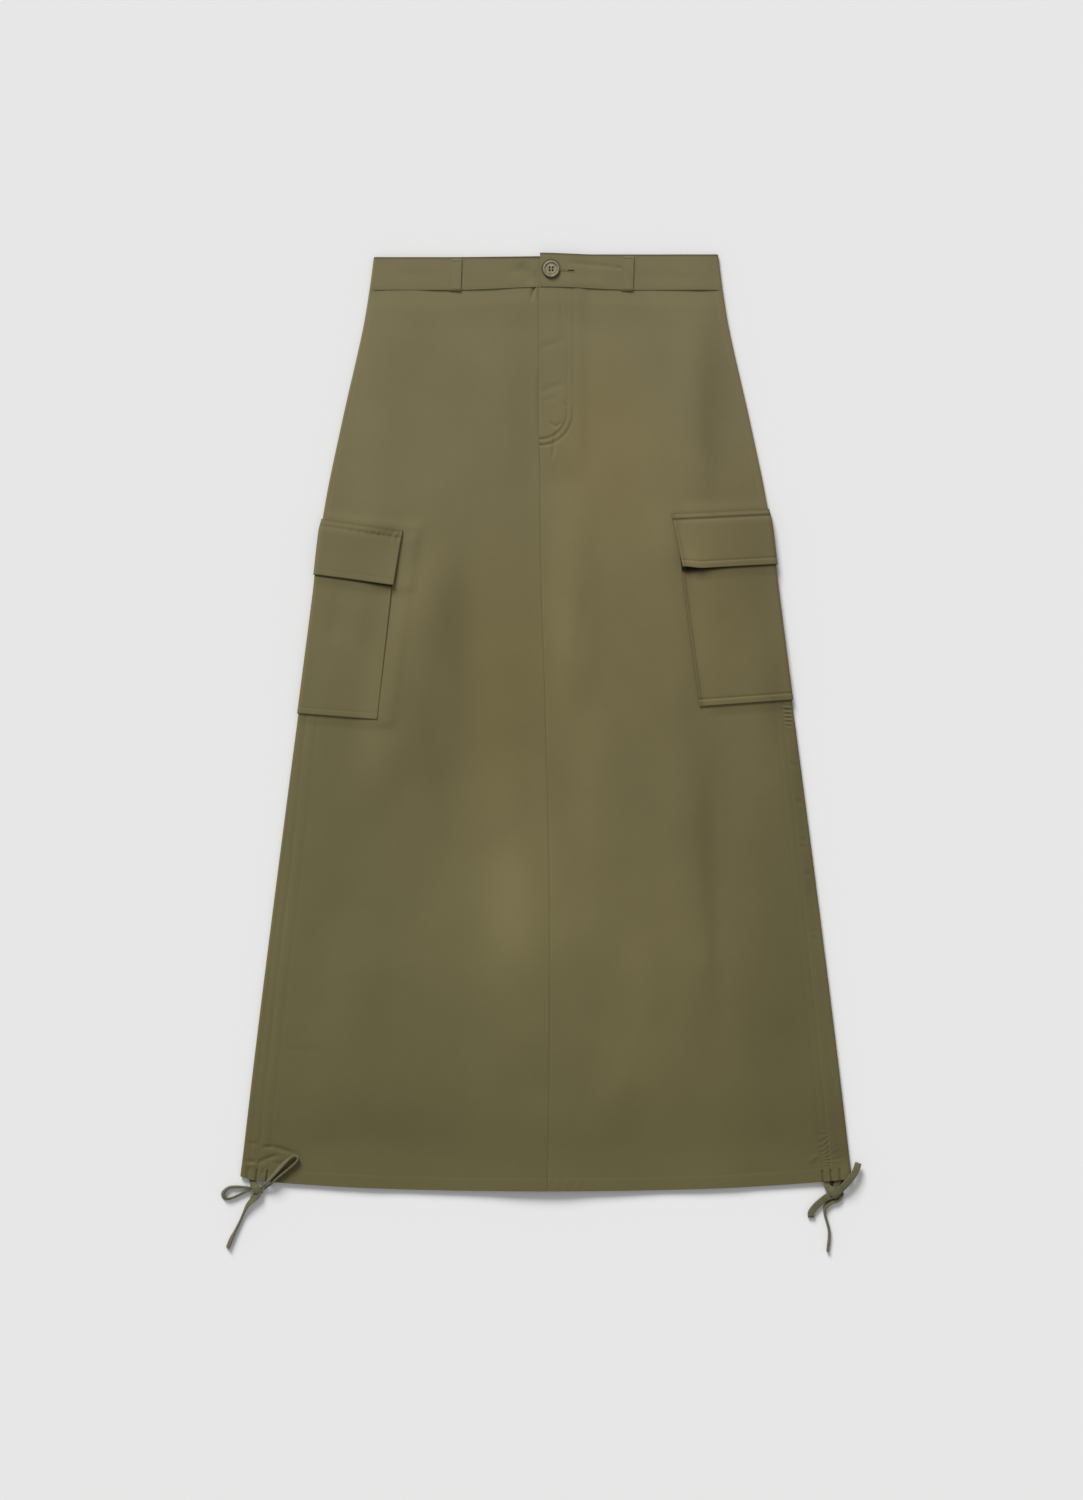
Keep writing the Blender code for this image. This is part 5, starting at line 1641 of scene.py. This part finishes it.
def flap_surface(side, girth, drop):
    """Places on the outside of a flap."""
    x, y = place_of(side, girth, drop)
    low = blend(drop, side.flap_top + RAMP, side.flap_bottom)
    corner = blend(girth, side.flap_front / 2, side.flap_front)
    off_side = blend(girth, ARC_END, FLAP_OFF_SIDE)
    from_front = side.flap_front - girth
    from_top = drop - side.flap_top
    flare = (FLAP_FLARE + FLAP_CORNER_FLARE * corner) * low * off_side
    curled = bell(from_front - FLAP_CURL_INSIDE, FLAP_CURL_ACROSS)
    curled = curled * bell(side.flap_bottom - drop, FLAP_CURL_DOWN)
    edges = turned_edges(flap_extent(side), girth, drop, FLAP_FRONT_MARKED, FLAP_BOTTOM_MARKED[side],
                         FLAP_TOP_MARKED[side])
    puckers = ripple(girth, girth, *PUCKER_WAVES) * bell(from_top - EDGE_ROW, PUCKER_REACH)
    edges = edges + PUCKER_HEIGHT[side] * puckers * blend(girth, *PUCKER_GIRTHS)
    waves = unevenness(x, y) + crease_height(POCKET_CREASES, x, y) * POCKET_CREASES_SHOWN
    waves = waves + crease_height(FLAP_CREASES, x, y)
    out = TRIM_STEP * (1 + covered_by(pocket_extent(side), girth, drop)) + waves * off_side + edges
    points = ring_points(side, girth, drop, out=out, lift=flare + FLAP_CORNER_CURL[side] * curled)
    points[..., 1] += FLAP_CORNER_RISE[side] * low * (1 - blend(from_front, 0.0, FLAP_RISE_REACH))
    return leant(points, from_front, from_top / (side.flap_bottom - side.flap_top), FLAP_LEANS[side])


def flap_shade(side, girth, drop):
    """Painted shade on a flap: darker at its top edge and row."""
    from_top = drop - side.flap_top
    from_row = from_top - EDGE_ROW
    dark, reach = FLAP_ROW_SHADE[side]
    painted_shade = FLAP_TOP_SHADE * bell(from_top, FLAP_TOP_SHADE_REACH)
    painted_shade = painted_shade + dark * bell(from_row + FLAP_ROW_SHADE_ABOVE, reach)
    if side is RIGHT:
        along_row = bell(from_row, RIGHT_ROW_SHADE_REACH) * blend(girth, *RIGHT_ROW_SHADE_GIRTHS)
        painted_shade = painted_shade + RIGHT_ROW_SHADE * along_row
    return 1 - painted_shade * (girth > 0)


for side in SIDES:
    fine = (side.flap_top + FLAP_FINE_FROM, side.flap_top + FLAP_FINE_TO)
    make_patch("flap", side, flap_surface, flap_extent(side), fine, flap_shade)

# ------------------------------------------------------------ the casings and the hem
# A strip inside each side seam carries the drawcord from the pocket to the hem, held by
# a row of stitches down both sides of the seam. The hem is turned up and stitched.

CASING_HALF_WIDTH = 0.009
CASING_WALL = 0.0008
CASING_EDGE = 0.0002
CASING_ROW_FROM_POCKET = 0.002
HEM_ROW_FROM_CASING = 0.002
HEM_ROW_FROM_FOLD = 0.004


def make_casing(side):
    drops = graded((side.pocket_bottom, 0.006), (SIDE_LENGTH, 0.0))
    seam = side_seam(side, drops)[:, None]
    low = np.maximum(seam - CASING_HALF_WIDTH, ARC_END + GAP)
    girth, drop = on_both(drops, low + (seam + CASING_HALF_WIDTH - low) * np.linspace(1.0, 0.0, 10))
    if side is RIGHT:
        girth = girth[:, ::-1]
    node = "casing_" + side.name
    points = ring_points(side, girth, drop, out=-(WALL + GAP))
    piece = cloth_piece(node + "_cloth", points, (girth, drop), 1.0, CASING_WALL, CASING_EDGE, segments=1)
    belongs(piece, "cloth", node)


def casing_lines(side):
    drops = np.linspace(side.pocket_bottom + CASING_ROW_FROM_POCKET, SIDE_LENGTH - MOUTH_START, 600)
    seam = side_seam(side, drops)
    return [line_on(front_surface, side, seam + side.casing_line, drops),
            line_on(back_surface, side, seam - BACK_LINE, drops)]


def hem_lines(side):
    drop = SIDE_LENGTH - HEM_DEPTH
    start = side_seam(side, drop) + side.casing_line + HEM_ROW_FROM_CASING
    front = np.linspace(start, centre_girth(side, drop) - ROW_SHORT, 500)
    back = -np.linspace(HEM_ROW_FROM_FOLD, middle_girth(drop), 500)
    return [line_on(front_surface, side, front, drop), line_on(back_surface, side, back, drop)]


for side in SIDES:
    make_casing(side)
    sew("stitches_casing_" + side.name, casing_lines(side))
    sew("stitches_hem_" + side.name, hem_lines(side))

# ------------------------------------------------------------ the drawcords
# Limp flat cotton tape comes out of the casings' mouths at both hem corners, where it is
# tied in a bow. It stands on its edge where it bends, and its ends are cut bare.

TAPE_WIDTH = 0.0065
TAPE_THICKNESS = 0.0012
TAPE_STEP = 0.0008
TAPE_SIDES = 14
TAPE_FLATNESS = 0.55
TAPE_EDGE_FLATNESS = 0.45
TAPE_RIB_PITCH = 0.00065
TAPE_DARK = colour_of(78, 75, 50)
TAPE_PALE = colour_of(107, 102, 73)
LAYER_STEP = 2.45
TURN_REACH = 1.3
CURL_NARROWS = 0.46
CURL_THICKENS = 0.70
# Where the tape climbs so steeply that it runs less than this share level, it keeps the
# roll it came with.
LEAST_LEVEL = 0.35

# Places along each strand in millimetres: x, y, the height of the tape's lower edge, and
# its roll in degrees: 0 where it lies flat, 90 where it stands on its edge, and more
# where it leans over to the other side.
RIGHT_LEAD = (
    (-293.8, -447, 1.2, 0), (-293.6, -453, 1.3, 0), (-293.2, -459.2, 1.8, 0), (-292.6, -461.4, 2.8, 0),
)
RIGHT_KNOT_IN = ((-291.4, -464.4, 2.9, 12), (-287.6, -466.6, 2.3, 45))
RIGHT_LOOP_B = (
    (-282.9, -463.8, 1.2, 86), (-279.4, -460.3, 5, 106), (-276.2, -456.6, 5.9, 124),
    (-272, -452, 5.8, 132), (-262.8, -441.8, 5.6, 132), (-256, -435.6, 5.5, 114),
    (-251, -432.8, 5.5, 97), (-247.6, -435.2, 5.5, 90), (-249.6, -439.4, 5.5, 86),
    (-257.6, -446.6, 5.5, 84), (-266.4, -453.6, 5.6, 82), (-271.6, -458.2, 5.6, 82),
    (-276.4, -462.6, 3.6, 84), (-281.2, -466, 1.2, 86),
)
RIGHT_KNOT_OUT = ((-284.6, -468.6, 1.8, 70), (-286.8, -471.4, 2.6, 40))
RIGHT_TAIL_A = (
    (-289.2, -473.6, 3, 22), (-294, -478.2, 2.2, 32), (-298.4, -483.2, 1.6, 48), (-301.4, -489, 0.8, 68),
    (-303.6, -494, 0.3, 80), (-305.6, -498.6, 0.1, 78), (-310.1, -507.8, 0.1, 66), (-314.6, -516.8, 0.1, 45),
    (-318.1, -525.7, 0.1, 46),
)
RIGHT_LOOP_A = (
    (-288.4, -463.6, 1, 60), (-294.2, -465.5, 0.1, 84), (-301, -464.9, 0.1, 80),
    (-309.2, -464.5, 0.1, 76), (-316.4, -465.2, 0.1, 70), (-321.3, -468.6, 0.1, 60),
    (-323.2, -472.6, 0.1, 54), (-320.6, -476.2, 0.1, 60), (-314.6, -475.9, 0.1, 72),
    (-304.7, -471.6, 0.1, 78), (-299, -469, 0.1, 84), (-294.4, -467.9, 0.1, 90),
)
RIGHT_TAIL_B = (
    (-289.6, -469, 0.6, 60), (-288.6, -471.4, 1, 25), (-290, -473.6, 1, 0), (-292, -475.6, 0.5, 0),
    (-293.8, -477.5, 0.2, 0),
)
LEFT_LEAD_A = (
    (280, -447, 1.2, 0), (280, -453, 1.3, 0), (280.2, -460.1, 1.8, 0), (281.6, -464.8, 2.8, 0),
    (285.4, -468.6, 3.4, 10), (289.8, -469.8, 4.2, 5),
)
LEFT_LOOP_A = (
    (294.3, -466.9, 2.9, 0), (299.2, -461.4, 4.9, 0), (304.7, -455, 5.4, 0), (309.2, -448, 5, 0),
    (311.4, -441.9, 3.7, 0),
)
LEFT_TAIL = (
    (290.4, -469, 1, 30), (288.4, -466.6, 0.4, 70), (292.6, -466.2, 0.1, 82), (296.1, -470.4, 0.1, 82),
    (295.4, -474.4, 0.1, 70), (291.6, -478, 0.1, 50), (286, -479.2, 0.1, 40), (281.4, -482.2, 0.1, 40),
    (278.6, -486.5, 0.1, 60), (278.8, -492.6, 0.1, 74), (280.6, -498.9, 0.1, 72), (282.8, -507.8, 0.1, 70),
    (282.8, -516.8, 0.1, 70), (282, -523, 0.1, 72), (281.5, -529.3, 0.1, 72),
)
LEFT_LEAD_B = (
    (291.6, -447, 1.2, 0), (291.5, -453, 1.3, 0), (291.3, -459, 1.8, 0), (290.4, -464.2, 1.7, 0),
    (287.6, -468.8, 2.6, 10),
)
LEFT_LOOP_B = (
    (281.3, -474.1, 1.5, 0), (276.8, -477.6, 0.4, 0), (269.9, -483.7, 0.1, 0), (265.2, -490, 0.1, 0),
    (264.9, -493.6, 0.1, 0),
)
LEFT_END_B = ((286.2, -470.6, 1, 0),)


def doubled(places):
    """A loop folded flat: out along its upper layer, over its end and back beneath."""
    (x0, y0, _, _), (x1, y1, base, roll) = places[-2:]
    reach = TURN_REACH / math.hypot(x1 - x0, y1 - y0)
    turn = (x1 + (x1 - x0) * reach, y1 + (y1 - y0) * reach, base + LAYER_STEP / 2, roll)
    upper = tuple((x, y, low + LAYER_STEP, tilt) for x, y, low, tilt in places)
    return upper + (turn,) + places[::-1]


STRANDS = table(
    "name nodes knot places exit far_end",
    ("drawcord_right_tied", ("cord_right_lead", "cord_right_loop_b", "cord_right_tail_a"), "cord_right_knot",
     RIGHT_LEAD + RIGHT_KNOT_IN + RIGHT_LOOP_B + RIGHT_KNOT_OUT + RIGHT_TAIL_A, 2, "bare"),
    ("drawcord_right_under", ("cord_right_loop_a", "cord_right_tail_b"), "cord_right_knot",
     RIGHT_LOOP_A + RIGHT_TAIL_B, 0, "bare"),
    ("drawcord_left_tied", ("cord_left_lead_a", "cord_left_loop_a", "cord_left_tail"), "cord_left_knot",
     LEFT_LEAD_A + doubled(LEFT_LOOP_A) + LEFT_TAIL, 2, "bare"),
    ("drawcord_left_under", ("cord_left_lead_b", "cord_left_loop_b"), "cord_left_knot",
     LEFT_LEAD_B + doubled(LEFT_LOOP_B) + LEFT_END_B, 2, "knot"),
)
KNOTS = table(
    "name node x y z half_across half_height turn",
    ("drawcord_knot_right", "cord_right_knot", -288.2, -467.2, 3.3, 5.0, 2.6, 32),
    ("drawcord_knot_left", "cord_left_knot", 287.5, -470.3, 3.5, 5.8, 2.8, 42),
)
# The two turns of tape in a knot: how far each leans, its size, and where it sits along it.
KNOT_TURNS = table("suffix lean size shift", ("", 0, 1, 0), ("_inner", 26, 0.84, -0.9))
KNOT_ANGLES = (-62, 242)
KNOT_FULLNESS = 0.85


def drawcord_finish():
    """Flat woven tape in olive cotton: fine ribs along it, picks across it."""
    material, tree, shader = new_finish("olive tape")
    cut = written(tree, "cut")
    cloud = add_node(tree, "TexNoise", {"Vector": cut, "Scale": 120.0, "Detail": 3.0})
    yarns = streaks(tree, cut, 3000.0, 400.0)
    shade = ranged(tree, maths(tree, "MULTIPLY_ADD", cloud, 0.5, yarns), 0.45, 1.05, 0.0, 1.0)
    weave = maths(tree, "MULTIPLY", *[ribs(tree, cut, way, 0.5, TAPE_RIB_PITCH) for way in (1.0, -1.0)])
    height = maths(tree, "MULTIPLY_ADD", weave, 0.6, yarns)
    connect(tree, shader, {
        "Base Color": mixed(tree, shade, TAPE_DARK, TAPE_PALE),
        "Normal": add_node(tree, "Bump", {"Strength": 0.6, "Distance": 0.00014, "Height": height}),
        "Roughness": 0.82,
        "Specular IOR Level": 0.25,
        "Sheen Weight": 0.15,
    })
    return material


olive_tape = drawcord_finish()


def smooth_route(places):
    """Places close together on a smooth curve through a strand's own."""
    places = np.array([places[0], *places, places[-1]], float)
    route = []
    for a, b, c, d in zip(places, places[1:], places[2:], places[3:]):
        count = max(2, round(math.dist(b[:3], c[:3]) * MILLIMETRE / TAPE_STEP))
        for t in np.arange(count) / count:
            route.append(0.5 * (2 * b + (c - a) * t + (2 * a - 5 * b + 4 * c - d) * t**2
                                + (3 * b - a - 3 * c + d) * t**3))
    return np.array([*route, places[-1]])


def tape_frames(route):
    """The tape's centreline, the way its width points along a route, its width and thickness."""
    turn = np.radians(route[:, 3])
    curl = np.sin(turn) ** 2
    broad = TAPE_WIDTH * (1 - CURL_NARROWS * curl)
    stout = TAPE_THICKNESS * (1 + CURL_THICKENS * curl)
    middle = route[:, :3] * MILLIMETRE
    middle[:, 2] += (broad - stout) / 2 * np.sin(turn) + stout / 2
    ahead = unit(np.gradient(middle, axis=0))
    widths = []
    for way, roll in zip(ahead, turn):
        level = math.hypot(way[0], way[1])
        if level < LEAST_LEVEL and widths:
            width = widths[-1]
        else:
            beside = np.array([-way[1], way[0]]) / level * math.cos(roll)
            width = np.array([*beside, math.sin(roll)])
            if widths and width @ widths[-1] < 0:
                width = -width
        widths.append(unit(width - way * (width @ way)))
    return middle, ahead, np.array(widths), broad[:, None], stout[:, None]


def fuller(wave, power):
    """A wave from -1 to 1 that keeps near its ends for longer."""
    return np.sign(wave) * np.abs(wave) ** power


def tape_mesh(name, middle, ahead, widths, broad=TAPE_WIDTH, stout=TAPE_THICKNESS):
    """A flat tape with round edges along a line, and its length."""
    turns = (np.arange(TAPE_SIDES) + 0.5) * 2 * math.pi / TAPE_SIDES
    travelled = distance_along(middle)[:, None]
    flat = 0 * travelled + fuller(np.cos(turns), TAPE_FLATNESS) * broad / 2
    thick = 0 * travelled + fuller(np.sin(turns), TAPE_EDGE_FLATNESS) * stout / 2
    facing = np.cross(ahead, widths)
    rings = middle[:, None] + widths[:, None] * flat[..., None] + facing[:, None] * thick[..., None]
    piece = tubes_mesh(name, [rings[None]], olive_tape)
    write_on(piece.data, "cut", np.stack([flat, travelled + 0 * flat, 0 * flat], axis=-1))
    return piece, float(travelled[-1, 0])


def make_knot(knot):
    """The turns of tape round the middle of a bow, open beneath."""
    centre = np.array([knot.x, knot.y, knot.z]) * MILLIMETRE
    angle = np.radians(np.linspace(*KNOT_ANGLES, 64))
    pieces = []
    for turn in KNOT_TURNS:
        bundle = math.radians(knot.turn + turn.lean)
        along = np.array([math.cos(bundle), math.sin(bundle), 0.0])
        beside = np.array([-along[1], along[0], 0.0])
        size = turn.size * MILLIMETRE
        swell = knot.half_across * size * fuller(np.cos(angle), KNOT_FULLNESS)
        middle = centre + along * turn.shift * MILLIMETRE + beside * swell[:, None]
        middle[:, 2] += knot.half_height * size * np.sin(angle)
        ahead = unit(np.gradient(middle, axis=0))
        piece, _ = tape_mesh(knot.name + turn.suffix, middle, ahead, np.broadcast_to(along, middle.shape))
        belongs(piece, "drawcord", *(() if turn.suffix else (knot.node,)))
        pieces.append(piece)
    return pieces


knots = {knot.node: make_knot(knot) for knot in KNOTS}
for strand in STRANDS:
    middle, *form = tape_frames(smooth_route(strand.places))
    tape, length = tape_mesh(strand.name, middle, *form)
    belongs(tape, "drawcord", *strand.nodes)
